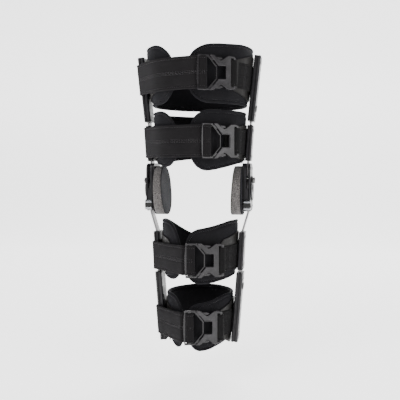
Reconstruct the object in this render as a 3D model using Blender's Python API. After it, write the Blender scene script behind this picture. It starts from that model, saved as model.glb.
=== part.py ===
"""Range-of-motion knee brace: dial-hinged telescoping uprights with four strap cuffs.

Metres, +Z up, +X towards the right upright, -Y towards the front. The origin is the knee centre,
midway between the two hinge pivots, and the knee axis is X.
"""
import math

import bmesh
import bpy
from mathutils import Matrix, Vector

# Uprights. Each bar runs through these (height, distance from the middle) points.
PIVOT_X = 0.0886
THIGH_BAR_PATH = (
    (0.0184, PIVOT_X),
    (0.0470, PIVOT_X),
    (0.1160, PIVOT_X + 0.0047),
    (0.2140, PIVOT_X + 0.0156),
)
CALF_BAR_PATH = (
    (-0.0120, PIVOT_X),
    (-0.0430, PIVOT_X),
    (-0.0800, PIVOT_X - 0.0111),
    (-0.1480, PIVOT_X - 0.0141),
    (-0.2460, PIVOT_X - 0.0220),
)
BAR_WIDTH = 0.0190
BAR_THICKNESS = 0.0030
BAR_HOLE_RADIUS = 0.0026
BAR_HOLE_PITCH = 0.0150
BAR_HOLES = 4

# Fits.
GAP = 0.0003
SLIDE_FIT = 0.0005

# Hinge.
ROTOR_RADIUS = 0.0170
ROTOR_FIT = 0.0006
PIN_RADIUS = 0.0040
PIN_HEAD_RADIUS = 0.0075
PIN_HEAD = 0.0016
HOUSING_THICKNESS = 0.0040
HOUSING_TOP = 0.0450
HOUSING_BOTTOM = -0.0410
HOUSING_HALF_WIDTH = 0.0240
HOUSING_CORNER = 0.0110
CORNER_STEPS = 5
HOUSING_BACK_THICKNESS = 0.0071
HOUSING_STEP_X = 0.0034
HOUSING_STEP_Y = 0.0022
FRONT_WALL_TOP = 0.0000
FRONT_WALL_BOTTOM = -0.0300
FRONT_WALL_DEPTH = 0.0048
DIAL_RADIUS = 0.0225
DIAL_HEIGHT = 0.0020
STOP_RADIUS = 0.0175
STOP_HALF_LENGTH = 0.0042
STOP_HALF_WIDTH = 0.0032
STOP_HEIGHT = 0.0030
STOP_ANGLE = 38.0
LATCH_TOP = -0.0200
LATCH_BOTTOM = -0.0380
LATCH_DEPTH = 0.0045
LATCH_WIDTH = 0.0122

# Condyle pads.
CONDYLE_HALF_HEIGHT = 0.0440
CONDYLE_HALF_DEPTH = 0.0400
CONDYLE_THICKNESS = 0.0176
CONDYLE_LEAN = 4.0
CONDYLE_SQUARENESS = 0.86
CONDYLE_CENTRE_Z = -0.0040

# Channels and brackets: (low, high) along the upright, thickness and width.
THIGH_CHANNEL = (0.1200, 0.2370)
THIGH_BRACKET = (0.0490, 0.1130)
CALF_BRACKET = (-0.1460, -0.0780)
CALF_CHANNEL = (-0.2740, -0.1510)
CHANNEL_THICKNESS = 0.0120
CHANNEL_WIDTH = 0.0320
BRACKET_THICKNESS = 0.0104
BRACKET_WIDTH = 0.0300
CHANNEL_CHAMFER = 0.0022
GROOVE_WIDTH = 0.0026
GROOVE_DEPTH = 0.0016
BUTTON_RADIUS = 0.0062
BUTTON_PROUD = 0.0018
BUTTON_TRAVEL = 0.0013

# Cuffs: layers from the leg outwards.
PAD_THICKNESS = 0.0070
WING_THICKNESS = 0.0018
STRAP_THICKNESS = 0.0022
WEBBING_THICKNESS = 0.0016
PAD_TONGUE = 0.0140
PAD_TIPS = (24.0, 31.0)
THIGH_STRAP_WIDTH = 0.0550
CALF_STRAP_WIDTH = 0.0500
WEBBING_WIDTH = 0.0440
WING_HEIGHT = 0.0780
WING_TIP_HEIGHT = 0.0440

# Buckle, in its own plane: s runs along the strap to the right, z is up.
BUCKLE_HALF_HEIGHT = 0.0295
BUCKLE_BOW = 0.0022
BUCKLE_MALE_START = -0.0338
BUCKLE_CROSSBAR = (-0.0258, -0.0198)
BUCKLE_FEMALE_START = -0.0114
BUCKLE_SLOT = (0.0248, 0.0293)
BUCKLE_TAIL = 0.0335
BUCKLE_THICKNESS = 0.0070
PRONG_THICKNESS = 0.0030
BUCKLE_FIT = 0.0005
STRAP_FRONT_END = -0.0190
TURN_EFFORT = 0.0300

# name, strap height, pad low and high, strap width, upright points, channel span, buckle bearing,
# front-to-back size over width, how far the leg's middle lies behind the uprights
LEVELS = {
    "thigh_upper": dict(
        z=0.1955, pad=(0.1465, 0.2500), strap=THIGH_STRAP_WIDTH, span=THIGH_CHANNEL, depth=CHANNEL_THICKNESS,
        bearing=65.5, ratio=0.92, back=0.0020, pad_arc=(-94.0, 110.0),
    ),
    "thigh_lower": dict(
        z=0.0820, pad=(0.0300, 0.1360), strap=THIGH_STRAP_WIDTH, span=THIGH_BRACKET, depth=BRACKET_THICKNESS,
        bearing=59.5, ratio=0.92, back=0.0020, pad_arc=(-94.0, 110.0),
    ),
    "calf_upper": dict(
        z=-0.1210, pad=(-0.1650, -0.0560), strap=CALF_STRAP_WIDTH, span=CALF_BRACKET, depth=BRACKET_THICKNESS,
        bearing=75.5, ratio=0.95, back=0.0040, pad_arc=(-104.0, 111.0),
    ),
    "calf_lower": dict(
        z=-0.2370, pad=(-0.2830, -0.1860), strap=CALF_STRAP_WIDTH, span=CALF_CHANNEL, depth=CHANNEL_THICKNESS,
        bearing=76.5, ratio=0.98, back=0.0040, pad_arc=(-104.0, 111.0),
    ),
}
SIDES = {"left": -1.0, "right": 1.0}


# ---------------------------------------------------------------- general helpers

def clear_scene():
    for obj in list(bpy.data.objects):
        bpy.data.objects.remove(obj, do_unlink=True)


def material(name, colour, roughness, metallic=0.0):
    mat = bpy.data.materials.new(name)
    mat.use_nodes = True
    shader = mat.node_tree.nodes["Principled BSDF"]
    shader.inputs["Base Color"].default_value = (*colour, 1.0)
    shader.inputs["Roughness"].default_value = roughness
    shader.inputs["Metallic"].default_value = metallic
    mat.diffuse_color = (*colour, 1.0)
    return mat


MATERIAL_SETTINGS = {
    "shell": ((0.030, 0.029, 0.031), 0.45, 0.0),
    "cover": ((0.180, 0.170, 0.155), 0.40, 0.0),
    "metal": ((0.420, 0.410, 0.400), 0.35, 0.9),
    "latch": ((0.800, 0.800, 0.800), 0.22, 1.0),
    "stop": ((0.300, 0.290, 0.270), 0.40, 0.0),
    "foam": ((0.200, 0.190, 0.185), 0.95, 0.0),
    "wing": ((0.060, 0.058, 0.056), 0.45, 0.0),
    "pad": ((0.014, 0.013, 0.016), 0.90, 0.0),
    "strap": ((0.022, 0.020, 0.021), 0.95, 0.0),
    "webbing": ((0.024, 0.023, 0.024), 0.85, 0.0),
    "buckle": ((0.095, 0.088, 0.097), 0.36, 0.0),
}


def add_object(name, mesh, kind, matrix=None, smooth=False):
    obj = bpy.data.objects.new(name, mesh)
    bpy.context.scene.collection.objects.link(obj)
    obj.data.materials.append(material("M_" + name, *MATERIAL_SETTINGS[kind]))
    if matrix is not None:
        obj.matrix_world = matrix
    if smooth:
        for face in mesh.polygons:
            face.use_smooth = True
    return obj


def mesh_from(name, verts, faces):
    mesh = bpy.data.meshes.new(name)
    mesh.from_pydata([tuple(v) for v in verts], [], faces)
    work = bmesh.new()
    work.from_mesh(mesh)
    bmesh.ops.recalc_face_normals(work, faces=work.faces)
    work.to_mesh(mesh)
    work.free()
    return mesh


def extrusion(name, outline, low, high, axis):
    """A flat outline made solid between low and high along an axis, 'X', 'Y' or 'Z'."""
    place = {
        "X": lambda a, b, t: (t, a, b),
        "Y": lambda a, b, t: (a, t, b),
        "Z": lambda a, b, t: (a, b, t),
    }[axis]
    count = len(outline)
    verts = [place(a, b, low) for a, b in outline]
    verts += [place(a, b, high) for a, b in outline]
    faces = [tuple(range(count)), tuple(range(2 * count - 1, count - 1, -1))]
    for i in range(count):
        j = (i + 1) % count
        faces.append((i, count + i, count + j, j))
    return mesh_from(name, verts, faces)


def rectangle(a_low, a_high, b_low, b_high):
    return [(a_low, b_low), (a_high, b_low), (a_high, b_high), (a_low, b_high)]


def mirrored(outline):
    """The upper half of an outline turned over into its lower half, in running order."""
    return [(a, -b) for a, b in reversed(outline)]


def circle(radius, count, centre=(0.0, 0.0)):
    turns = [math.tau * i / count for i in range(count)]
    return [(centre[0] + radius * math.cos(t), centre[1] + radius * math.sin(t)) for t in turns]


def bevel(obj, width, segments=2, angle=35.0):
    modifier = obj.modifiers.new("bevel", "BEVEL")
    modifier.width = width
    modifier.segments = segments
    modifier.limit_method = "ANGLE"
    modifier.angle_limit = math.radians(angle)
    modifier.harden_normals = False
    return obj


def combine(obj, mesh, matrix, operation):
    """Adds a hidden helper shape to obj or takes it away, with an exact Boolean."""
    helper = bpy.data.objects.new(mesh.name, mesh)
    bpy.context.scene.collection.objects.link(helper)
    helper.matrix_world = matrix
    helper.hide_render = True
    helper.display_type = "WIRE"
    modifier = obj.modifiers.new(operation.lower(), "BOOLEAN")
    modifier.operation = operation
    modifier.solver = "EXACT"
    modifier.object = helper


def cut(obj, mesh, matrix):
    combine(obj, mesh, matrix, "DIFFERENCE")


def join(obj, mesh, matrix):
    combine(obj, mesh, matrix, "UNION")


def path_x(path, z):
    """The bar's distance from the middle at a height; the end segments carry on straight."""
    points = sorted(path)
    for (z0, x0), (z1, x1) in zip(points, points[1:]):
        if z <= z1 or (z1, x1) == points[-1]:
            if z >= z0 or (z0, x0) == points[0]:
                return x0 + (x1 - x0) * (z - z0) / (z1 - z0)
    raise ValueError("height off the path")


def bar_x(z):
    return path_x(THIGH_BAR_PATH if z > 0.0 else CALF_BAR_PATH, z)


def tilt_at(z_low, z_high):
    """Lean of the upright between two heights, in radians from vertical; positive leans outwards going up."""
    return math.atan2(bar_x(z_high) - bar_x(z_low), z_high - z_low)


def upright_frame(side, z_low, z_high):
    """Local frame on the bar's middle line at z_low, with local Z running along the bar."""
    sign = SIDES[side]
    lean = Matrix.Rotation(sign * tilt_at(z_low, z_high), 4, "Y")
    return Matrix.Translation((sign * bar_x(z_low), 0.0, z_low)) @ lean


# ---------------------------------------------------------------- bars

def bar_mesh(name, side, path, round_end):
    """A flat bar bent along its path. The calf bar ends in the hinge's rotor disc."""
    sign = SIDES[side]
    half = BAR_THICKNESS / 2
    width = BAR_WIDTH / 2
    rows = []
    if round_end:
        steps = 9
        reach = math.asin(width / ROTOR_RADIUS)
        for i in range(2 * steps + 1):
            angle = reach + (math.pi - reach) * (1 - i / (2 * steps))
            angle = max(angle, reach)
            y = ROTOR_RADIUS * math.sin(angle)
            z = -ROTOR_RADIUS * math.cos(angle)
            rows.append((z, PIVOT_X, max(y, 0.0006)))
        path = [p for p in path if p[0] < rows[-1][0] - 0.002]
    else:
        neck = ROTOR_RADIUS + ROTOR_FIT
        rows.append((neck + 0.0008, PIVOT_X, width - 0.0035))
        rows.append((neck + 0.0043, PIVOT_X, width))
        path = [p for p in path if p[0] > rows[-1][0] + 0.002]
    rows += [(z, x, width) for z, x in path]
    end_z, end_x, _ = rows[-1]
    near_z, near_x, _ = rows[-2]
    step = (end_z - near_z) / abs(end_z - near_z) * 0.004
    lean = (end_x - near_x) / (end_z - near_z)
    rows.append((end_z + step, end_x + lean * step, width - 0.004))
    verts = []
    for z, x, w in rows:
        for dx, dy in ((-half, -w), (half, -w), (half, w), (-half, w)):
            verts.append((sign * (x + dx), dy, z))
    faces = [(0, 1, 2, 3), tuple(len(verts) - 4 + i for i in (3, 2, 1, 0))]
    for r in range(len(rows) - 1):
        base = 4 * r
        for i in range(4):
            j = (i + 1) % 4
            faces.append((base + i, base + 4 + i, base + 4 + j, base + j))
    return mesh_from(name, verts, faces)


def drill_bar(bar, side, z_first, direction, z_low, z_high):
    """The row of adjustment holes in the straight end of a bar."""
    sign = SIDES[side]
    for i in range(BAR_HOLES):
        z = z_first + direction * i * BAR_HOLE_PITCH
        hole = extrusion(f"{bar.name}_hole_{i}", circle(BAR_HOLE_RADIUS, 10), -0.006, 0.006, "X")
        spin = Matrix.Rotation(sign * tilt_at(z_low, z_high), 4, "Y")
        cut(bar, hole, Matrix.Translation((sign * bar_x(z), 0.0, z)) @ spin)


def build_bars(side):
    name = f"{side}_thigh_bar"
    thigh = add_object(name, bar_mesh(name, side, THIGH_BAR_PATH, False), "metal")
    drill_bar(thigh, side, 0.1480, 1.0, *THIGH_CHANNEL)
    calf = add_object(f"{side}_calf_bar", bar_mesh(f"{side}_calf_bar", side, CALF_BAR_PATH, True), "metal")
    drill_bar(calf, side, -0.1800, -1.0, *CALF_CHANNEL)
    hole = extrusion(f"{side}_rotor_hole", circle(PIN_RADIUS + GAP, 24), -0.01, 0.01, "X")
    cut(calf, hole, Matrix.Translation((SIDES[side] * PIVOT_X, 0.0, 0.0)))


# ---------------------------------------------------------------- hinge

def hinge_outline():
    """Side view of the hinge: an upright plate with rounded corners."""
    radius = HOUSING_CORNER
    outline = []
    for centre_y, centre_z, start in (
        (HOUSING_HALF_WIDTH - radius, HOUSING_TOP - radius, 0),
        (radius - HOUSING_HALF_WIDTH, HOUSING_TOP - radius, 90),
        (radius - HOUSING_HALF_WIDTH, HOUSING_BOTTOM + radius, 180),
        (HOUSING_HALF_WIDTH - radius, HOUSING_BOTTOM + radius, 270),
    ):
        for i in range(CORNER_STEPS + 1):
            t = math.radians(start + 90 * i / CORNER_STEPS)
            outline.append((centre_y + radius * math.cos(t), centre_z + radius * math.sin(t)))
    return outline


def x_span(side, low, high):
    """Distances from the middle to ordered X values on one side."""
    sign = SIDES[side]
    return sorted((sign * low, sign * high))


def bore(obj, radius):
    """A hole through a hinge piece along the knee axis."""
    cutter = extrusion(f"{obj.name}_bore", circle(radius + GAP, 24), -0.2, 0.2, "X")
    cut(obj, cutter, Matrix.Identity(4))


def build_housing(side, inner_low, slot):
    """The hinge's inner half: a stepped front edge, and a wall that closes the front below the pivot."""
    name = f"{side}_hinge_housing"
    axis = Matrix.Identity(4)
    low, high = x_span(side, inner_low, PIVOT_X - slot)
    housing = add_object(name, extrusion(name, hinge_outline(), low, high, "X"), "shell")
    front = -HOUSING_HALF_WIDTH
    low, high = x_span(side, PIVOT_X - slot - 0.0010, PIVOT_X + slot - GAP)
    wall = rectangle(front, front + FRONT_WALL_DEPTH, FRONT_WALL_BOTTOM, FRONT_WALL_TOP)
    join(housing, extrusion(f"{name}_wall", wall, low, high, "X"), axis)
    low, high = x_span(side, inner_low - 0.01, inner_low + HOUSING_STEP_X)
    step = rectangle(front - 0.01, front + HOUSING_STEP_Y, -0.1, 0.1)
    cut(housing, extrusion(f"{name}_step", step, low, high, "X"), axis)
    bevel(housing, 0.0010)
    bore(housing, PIN_RADIUS)


def build_hinge(side):
    slot = BAR_THICKNESS / 2 + GAP
    inner_low = PIVOT_X - slot - HOUSING_BACK_THICKNESS
    outer_high = PIVOT_X + slot + HOUSING_THICKNESS
    build_housing(side, inner_low, slot)

    name = f"{side}_hinge_cover"
    low, high = x_span(side, PIVOT_X + slot, outer_high)
    cover = add_object(name, extrusion(name, hinge_outline(), low, high, "X"), "cover")
    bevel(cover, 0.0018, 3)
    bore(cover, PIN_RADIUS)

    name = f"{side}_hinge_dial"
    low, high = x_span(side, outer_high + GAP, outer_high + GAP + DIAL_HEIGHT)
    dial = add_object(name, extrusion(name, circle(DIAL_RADIUS, 36), low, high, "X"), "shell")
    bevel(dial, 0.0007, 1)
    bore(dial, PIN_HEAD_RADIUS)

    build_pin(side, inner_low, outer_high)
    build_stops(side, outer_high + GAP + DIAL_HEIGHT + GAP)
    build_latch(side)
    build_condyle_pad(side, inner_low - GAP)


def build_pin(side, inner_low, outer_high):
    """A headed pivot pin turned about the knee axis."""
    sign = SIDES[side]
    head = outer_high + GAP
    profile = [
        (inner_low + 0.0002, 0.0),
        (inner_low + 0.0002, PIN_RADIUS),
        (head, PIN_RADIUS),
        (head, PIN_HEAD_RADIUS),
        (head + DIAL_HEIGHT + PIN_HEAD - 0.0008, PIN_HEAD_RADIUS),
        (head + DIAL_HEIGHT + PIN_HEAD, PIN_HEAD_RADIUS - 0.0008),
        (head + DIAL_HEIGHT + PIN_HEAD, 0.0),
    ]
    count = 24
    verts, faces, rings = [], [], []
    for x, r in profile:
        if r == 0.0:
            rings.append([len(verts)])
            verts.append((sign * x, 0.0, 0.0))
            continue
        rings.append(list(range(len(verts), len(verts) + count)))
        verts += [(sign * x, a, b) for a, b in circle(r, count)]
    for first, second in zip(rings, rings[1:]):
        for i in range(count):
            j = (i + 1) % count
            if len(first) == 1:
                faces.append((first[0], second[i], second[j]))
            elif len(second) == 1:
                faces.append((first[j], first[i], second[0]))
            else:
                faces.append((first[i], second[i], second[j], first[j]))
    add_object(f"{side}_pivot_pin", mesh_from(f"{side}_pivot_pin", verts, faces), "metal")


def build_stops(side, face_x):
    """The two range-limit tabs that turn round the dial, one ahead of the pivot and one behind it."""
    for name, angle in (("extension_stop", -STOP_ANGLE), ("flexion_stop", STOP_ANGLE)):
        low, high = x_span(side, face_x, face_x + STOP_HEIGHT)
        outline = [
            (-STOP_HALF_WIDTH, STOP_RADIUS - STOP_HALF_LENGTH),
            (STOP_HALF_WIDTH, STOP_RADIUS - STOP_HALF_LENGTH),
            (STOP_HALF_WIDTH + 0.0012, STOP_RADIUS + STOP_HALF_LENGTH),
            (-STOP_HALF_WIDTH - 0.0012, STOP_RADIUS + STOP_HALF_LENGTH),
        ]
        mesh = extrusion(f"{side}_{name}", outline, low, high, "X")
        tab = add_object(f"{side}_{name}", mesh, "stop", Matrix.Rotation(math.radians(-angle), 4, "X"))
        bevel(tab, 0.0007, 1)


def build_latch(side):
    """The lock slide on the hinge's front edge, below the pivot."""
    sign = SIDES[side]
    front = -HOUSING_HALF_WIDTH - GAP
    half = LATCH_WIDTH / 2
    outline = [
        (front, LATCH_BOTTOM),
        (front, LATCH_TOP),
        (front - 0.45 * LATCH_DEPTH, LATCH_TOP),
        (front - LATCH_DEPTH, LATCH_TOP - 0.0022),
        (front - LATCH_DEPTH, LATCH_TOP - 0.0050),
        (front - 0.62 * LATCH_DEPTH, LATCH_TOP - 0.0062),
        (front - 0.62 * LATCH_DEPTH, LATCH_BOTTOM + 0.0052),
        (front - LATCH_DEPTH, LATCH_BOTTOM + 0.0042),
        (front - LATCH_DEPTH, LATCH_BOTTOM + 0.0012),
        (front - 0.6 * LATCH_DEPTH, LATCH_BOTTOM),
    ]
    mesh = extrusion(f"{side}_lock_slide", outline, sign * PIVOT_X - half, sign * PIVOT_X + half, "X")
    slide = add_object(f"{side}_lock_slide", mesh, "latch")
    bevel(slide, 0.0007, 2)


def squared(value):
    """A coordinate of the unit circle pushed towards the corners of its square."""
    return math.copysign(abs(value) ** CONDYLE_SQUARENESS, value)


def build_condyle_pad(side, outer_x):
    """A foam pad flat against the hinge, thicker towards its bottom, with small rounded rims."""
    sign = SIDES[side]
    count = 32
    rim = 0.0018
    lean = math.tan(math.radians(CONDYLE_LEAN))
    rings = [(1.0, 0.0, 0.965), (1.0, -rim, 1.0), (0.0, rim, 1.0), (0.0, 0.0, 0.965)]
    verts, faces = [], []
    for share, shift, grow in rings:
        for c, s in circle(1.0, count):
            y = squared(c) * CONDYLE_HALF_DEPTH * grow
            z = squared(s) * CONDYLE_HALF_HEIGHT * grow
            x = outer_x - share * (CONDYLE_THICKNESS - z * lean) - shift
            verts.append((sign * x, y, CONDYLE_CENTRE_Z + z))
    faces.append(tuple(range(count)))
    last = (len(rings) - 1) * count
    faces.append(tuple(last + i for i in reversed(range(count))))
    for r in range(len(rings) - 1):
        for i in range(count):
            j = (i + 1) % count
            faces.append((r * count + i, (r + 1) * count + i, (r + 1) * count + j, r * count + j))
    add_object(f"{side}_condyle_pad", mesh_from(f"{side}_condyle_pad", verts, faces), "foam", smooth=False)


# ---------------------------------------------------------------- channels and brackets

def channel_section(thickness, width):
    """Cross-section of an upright's plastic channel, with a groove down its front and back edges."""
    t = thickness / 2
    w = width / 2
    g = GROOVE_WIDTH / 2
    chamfer = CHANNEL_CHAMFER
    quarter = [(g, w - GROOVE_DEPTH), (g, w - 0.0003), (t - chamfer, w), (t, w - chamfer)]
    section = quarter + [(x, -y) for x, y in reversed(quarter)]
    return section + [(-x, -y) for x, y in section]


def build_channel(side, name, span, thickness, width, button_at, closed_end):
    """A channel on its bar. closed_end is +1 or -1 for a cap at the top or bottom, 0 for a through sleeve."""
    z_low, z_high = span
    frame = upright_frame(side, z_low, z_high)
    length = (z_high - z_low) / math.cos(tilt_at(z_low, z_high))
    mesh = extrusion(f"{side}_{name}", channel_section(thickness, width), 0.0, length, "Z")
    channel = add_object(f"{side}_{name}", mesh, "shell", frame)
    bevel(channel, 0.0008, 1)
    fit = SLIDE_FIT
    half_t = BAR_THICKNESS / 2 + fit
    half_w = BAR_WIDTH / 2 + fit
    cap = 0.009
    low = cap if closed_end < 0 else -0.01
    high = length - cap if closed_end > 0 else length + 0.01
    tunnel = extrusion(f"{side}_{name}_tunnel", rectangle(-half_t, half_t, -half_w, half_w), low, high, "Z")
    cut(channel, tunnel, frame)
    if button_at:
        height = length * button_at
        low, high = x_span(side, 0.0, 0.01)
        seat = extrusion(f"{side}_{name}_seat", circle(BUTTON_RADIUS + GAP, 24), low, high, "X")
        at = frame @ Matrix.Translation((0.0, 0.0, height))
        cut(channel, seat, at)
        low, high = x_span(side, half_t + BUTTON_TRAVEL + GAP, thickness / 2 + BUTTON_PROUD)
        button = extrusion(f"{side}_{name}_button", circle(BUTTON_RADIUS, 24), low, high, "X")
        bevel(add_object(f"{side}_{name}_button", button, "stop", at), 0.0006, 2)


def build_channels(side):
    build_channel(side, "thigh_channel", THIGH_CHANNEL, CHANNEL_THICKNESS, CHANNEL_WIDTH, 0.20, 1)
    build_channel(side, "thigh_bracket", THIGH_BRACKET, BRACKET_THICKNESS, BRACKET_WIDTH, None, 0)
    build_channel(side, "calf_bracket", CALF_BRACKET, BRACKET_THICKNESS, BRACKET_WIDTH, None, 0)
    build_channel(side, "calf_channel", CALF_CHANNEL, CHANNEL_THICKNESS, CHANNEL_WIDTH, 0.80, -1)


# ---------------------------------------------------------------- cuffs

def channel_inner(level, z):
    """Distance from the middle to the channel's inner face at a height near a level."""
    low, high = level["span"]
    lean = (bar_x(high) - bar_x(low)) / (high - low)
    return bar_x(low) + lean * (z - low) - level["depth"] / 2 / math.cos(math.atan(lean))


def layer(level, z, offset):
    """Half width and half depth of the ring that lies offset inside the channels' inner faces."""
    half_width = channel_inner(level, z) - offset
    base = channel_inner(level, z) * level["ratio"]
    return half_width, base - offset


def ring_point(level, z, offset, degrees):
    """A point on a layer. 0 degrees is the right upright, 90 the back and -90 the front."""
    a, b = layer(level, z, offset)
    t = math.radians(degrees)
    return Vector((a * math.cos(t), level["back"] + b * math.sin(t), z))


WEB_DEPTH = GAP + WEBBING_THICKNESS
WING_DEPTH = WEB_DEPTH + GAP + WING_THICKNESS
PAD_DEPTH = WING_DEPTH + GAP + PAD_THICKNESS


def shell_mesh(name, inner, outer):
    """A closed sheet between two equal grids of points, inner[row][column] and outer[row][column]."""
    rows = len(inner)
    columns = len(inner[0])
    verts = [p for row in inner for p in row] + [p for row in outer for p in row]
    half = rows * columns

    def at(layer_index, r, c):
        return layer_index * half + r * columns + c

    faces = []
    for r in range(rows - 1):
        for c in range(columns - 1):
            faces.append((at(0, r, c), at(0, r, c + 1), at(0, r + 1, c + 1), at(0, r + 1, c)))
            faces.append((at(1, r, c), at(1, r + 1, c), at(1, r + 1, c + 1), at(1, r, c + 1)))
    for c in range(columns - 1):
        faces.append((at(0, 0, c), at(1, 0, c), at(1, 0, c + 1), at(0, 0, c + 1)))
        faces.append((at(0, rows - 1, c), at(0, rows - 1, c + 1), at(1, rows - 1, c + 1), at(1, rows - 1, c)))
    for r in range(rows - 1):
        faces.append((at(0, r, 0), at(0, r + 1, 0), at(1, r + 1, 0), at(1, r, 0)))
        c = columns - 1
        faces.append((at(0, r, c), at(1, r, c), at(1, r + 1, c), at(0, r + 1, c)))
    return mesh_from(name, verts, faces)


def pad_edges(key, level, degrees, run):
    """Low and high edge of a pad at a bearing; run goes 0 at the tip to 1 where the pad is full height."""
    low, high = level["pad"]
    middle = level["z"]
    full = math.sqrt(max(0.0, 1 - (1 - min(run, 1.0)) ** 2))
    beside = math.cos(math.radians(degrees)) ** 2
    behind = max(0.0, math.sin(math.radians(degrees))) ** 2
    front_slope = min(1.0, max(0.0, (-30.0 - degrees) / 50.0))
    left_lobe = min(1.0, max(0.0, (degrees - 200.0) / 30.0))
    if key == "thigh_upper":
        high -= 0.0055 * front_slope
    if key == "thigh_lower":
        low += 0.0155 * beside + 0.0240 * behind
    if key == "calf_upper":
        high -= 0.0380 * behind + 0.0120 * front_slope
        low += 0.0090 * beside
    if key == "calf_lower":
        high -= 0.0120 * front_slope
        low += 0.0140 * beside - 0.0060 * left_lobe
    low = middle - PAD_TONGUE + (low - middle + PAD_TONGUE) * full
    high = middle + PAD_TONGUE + (high - middle - PAD_TONGUE) * full
    return low, high


def build_pad(key, level):
    """A foam pad open at the front, from the right lobe round the back to the left lobe."""
    start = level["pad_arc"][0]
    end = 360.0 - level["pad_arc"][1]
    columns = 33
    rows = 5
    right_tip, left_tip = PAD_TIPS
    inner, outer = [[] for _ in range(rows)], [[] for _ in range(rows)]
    for c in range(columns):
        u = c / (columns - 1)
        u -= 0.07 * math.sin(math.tau * u)
        degrees = start + (end - start) * u
        run = min((degrees - start) / right_tip, (end - degrees) / left_tip)
        low, high = pad_edges(key, level, degrees, run)
        for r in range(rows):
            v = r / (rows - 1)
            z = low + (high - low) * v
            edge = 0.0012 if r in (0, rows - 1) or c in (0, columns - 1) else 0.0
            outer[r].append(ring_point(level, z, PAD_DEPTH - PAD_THICKNESS + edge, degrees))
            inner[r].append(ring_point(level, z, PAD_DEPTH - edge, degrees))
    add_object(f"{key}_pad", shell_mesh(f"{key}_pad", inner, outer), "pad")


def build_wing(side, key, level):
    """A thin shaped plate behind a channel, tapering towards its front and back tips."""
    sign = SIDES[side]
    low, high = level["span"]
    bracket = level["depth"] == BRACKET_THICKNESS
    middle = (low + high) / 2 if bracket else level["z"]
    root_height = high - low if bracket else WING_HEIGHT
    reach = 50.0
    columns = 19
    rows = 4
    inner, outer = [[] for _ in range(rows)], [[] for _ in range(rows)]
    for c in range(columns):
        u = 2 * c / (columns - 1) - 1
        degrees = reach * u if sign > 0 else 180.0 + reach * u
        taper = max(0.0, (abs(u) - 0.22) / 0.78)
        height = root_height + (WING_TIP_HEIGHT - root_height) * taper
        if c in (0, columns - 1):
            height -= 0.012
        for r in range(rows):
            z = middle + height * (r / (rows - 1) - 0.5)
            outer[r].append(ring_point(level, z, WEB_DEPTH + GAP, degrees))
            inner[r].append(ring_point(level, z, WING_DEPTH, degrees))
    name = f"{side}_{key}_wing"
    add_object(name, shell_mesh(name, inner, outer), "wing")


def hull(points):
    """Convex hull of plan points, anticlockwise."""
    ordered = sorted(set((round(x, 7), round(y, 7)) for x, y in points))

    def half(sequence):
        chain = []
        for p in sequence:
            while len(chain) > 1:
                (ax, ay), (bx, by) = chain[-2], chain[-1]
                if (bx - ax) * (p[1] - ay) - (by - ay) * (p[0] - ax) > 0:
                    break
                chain.pop()
            chain.append(p)
        return chain[:-1]

    return half(ordered) + half(reversed(ordered))


def buckle_frame(level):
    """Local frame of a buckle: X along the strap to the right, Y inwards to the leg, Z up."""
    bearing = -level["bearing"]
    t = math.radians(bearing)
    a, b = layer(level, level["z"], 0.0)
    along = Vector((-a * math.sin(t), b * math.cos(t), 0.0)).normalized()
    outwards = Vector((along.y, -along.x, 0.0))
    centre = ring_point(level, level["z"], 0.0, bearing) + outwards * (BUCKLE_THICKNESS / 2 + 0.0042)
    up = Vector((0.0, 0.0, 1.0))
    frame = Matrix((
        (along.x, -outwards.x, up.x, centre.x),
        (along.y, -outwards.y, up.y, centre.y),
        (along.z, -outwards.z, up.z, centre.z),
        (0.0, 0.0, 0.0, 1.0),
    ))
    return frame


def strap_loop(level, z):
    """Plan of the taut strap at a height: round the pad and wings and outside the left channel."""
    points = []
    for i in range(0, 360, 4):
        p = ring_point(level, z, -STRAP_THICKNESS - 2 * GAP, i)
        points.append((p.x, p.y))
    half = channel_width(level) / 2
    inner = -channel_inner(level, z)
    outer = inner - level["depth"] / math.cos(tilt_at(*level["span"]))
    clear = STRAP_THICKNESS + 2 * GAP
    corners = [(outer, half - CHANNEL_CHAMFER), (outer + CHANNEL_CHAMFER, half), (inner, half)]
    for x, y in corners + [(x, -y) for x, y in corners]:
        points += circle(clear, 24, (x, y))
    points.append(strap_front_end(level))
    return hull(points)


def channel_width(level):
    return CHANNEL_WIDTH if level["depth"] == CHANNEL_THICKNESS else BRACKET_WIDTH


def strap_front_end(level):
    """Where the long strap's outer face leaves the male buckle half's crossbar."""
    p = buckle_frame(level) @ Vector((STRAP_FRONT_END, PRONG_THICKNESS / 2 + 2 * GAP, 0.0))
    return (p.x, p.y)


def strap_path(level, z, count):
    """Evenly spaced outer-face points from the buckle round the left side and back to the right channel."""
    loop = strap_loop(level, z)
    front = strap_front_end(level)
    start = min(range(len(loop)), key=lambda i: (loop[i][0] - front[0]) ** 2 + (loop[i][1] - front[1]) ** 2)
    ordered = loop[start:] + loop[:start]
    ordered = [ordered[0]] + ordered[:0:-1]
    edge = channel_width(level) / 2 + 2 * GAP
    kept = []
    for p in ordered:
        if p[0] > 0 and 0 < p[1] < edge:
            kept.append(Vector((p[0], edge)))
            break
        kept.append(Vector(p))
    return spread(kept, count)


def spread(points, count):
    """count points along a line of points, closer together where it turns sharply."""
    effort = [0.0]
    for i in range(1, len(points)):
        step = points[i] - points[i - 1]
        ahead = points[min(i + 1, len(points) - 1)] - points[i]
        turn = step.angle(ahead, 0.0) if ahead.length > 0 else 0.0
        effort.append(effort[-1] + step.length + TURN_EFFORT * turn)
    path = []
    i = 0
    for n in range(count):
        target = effort[-1] * n / (count - 1)
        while i < len(points) - 2 and effort[i + 1] < target:
            i += 1
        t = min(1.0, (target - effort[i]) / (effort[i + 1] - effort[i]))
        path.append(points[i].lerp(points[i + 1], t))
    return path


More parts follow.
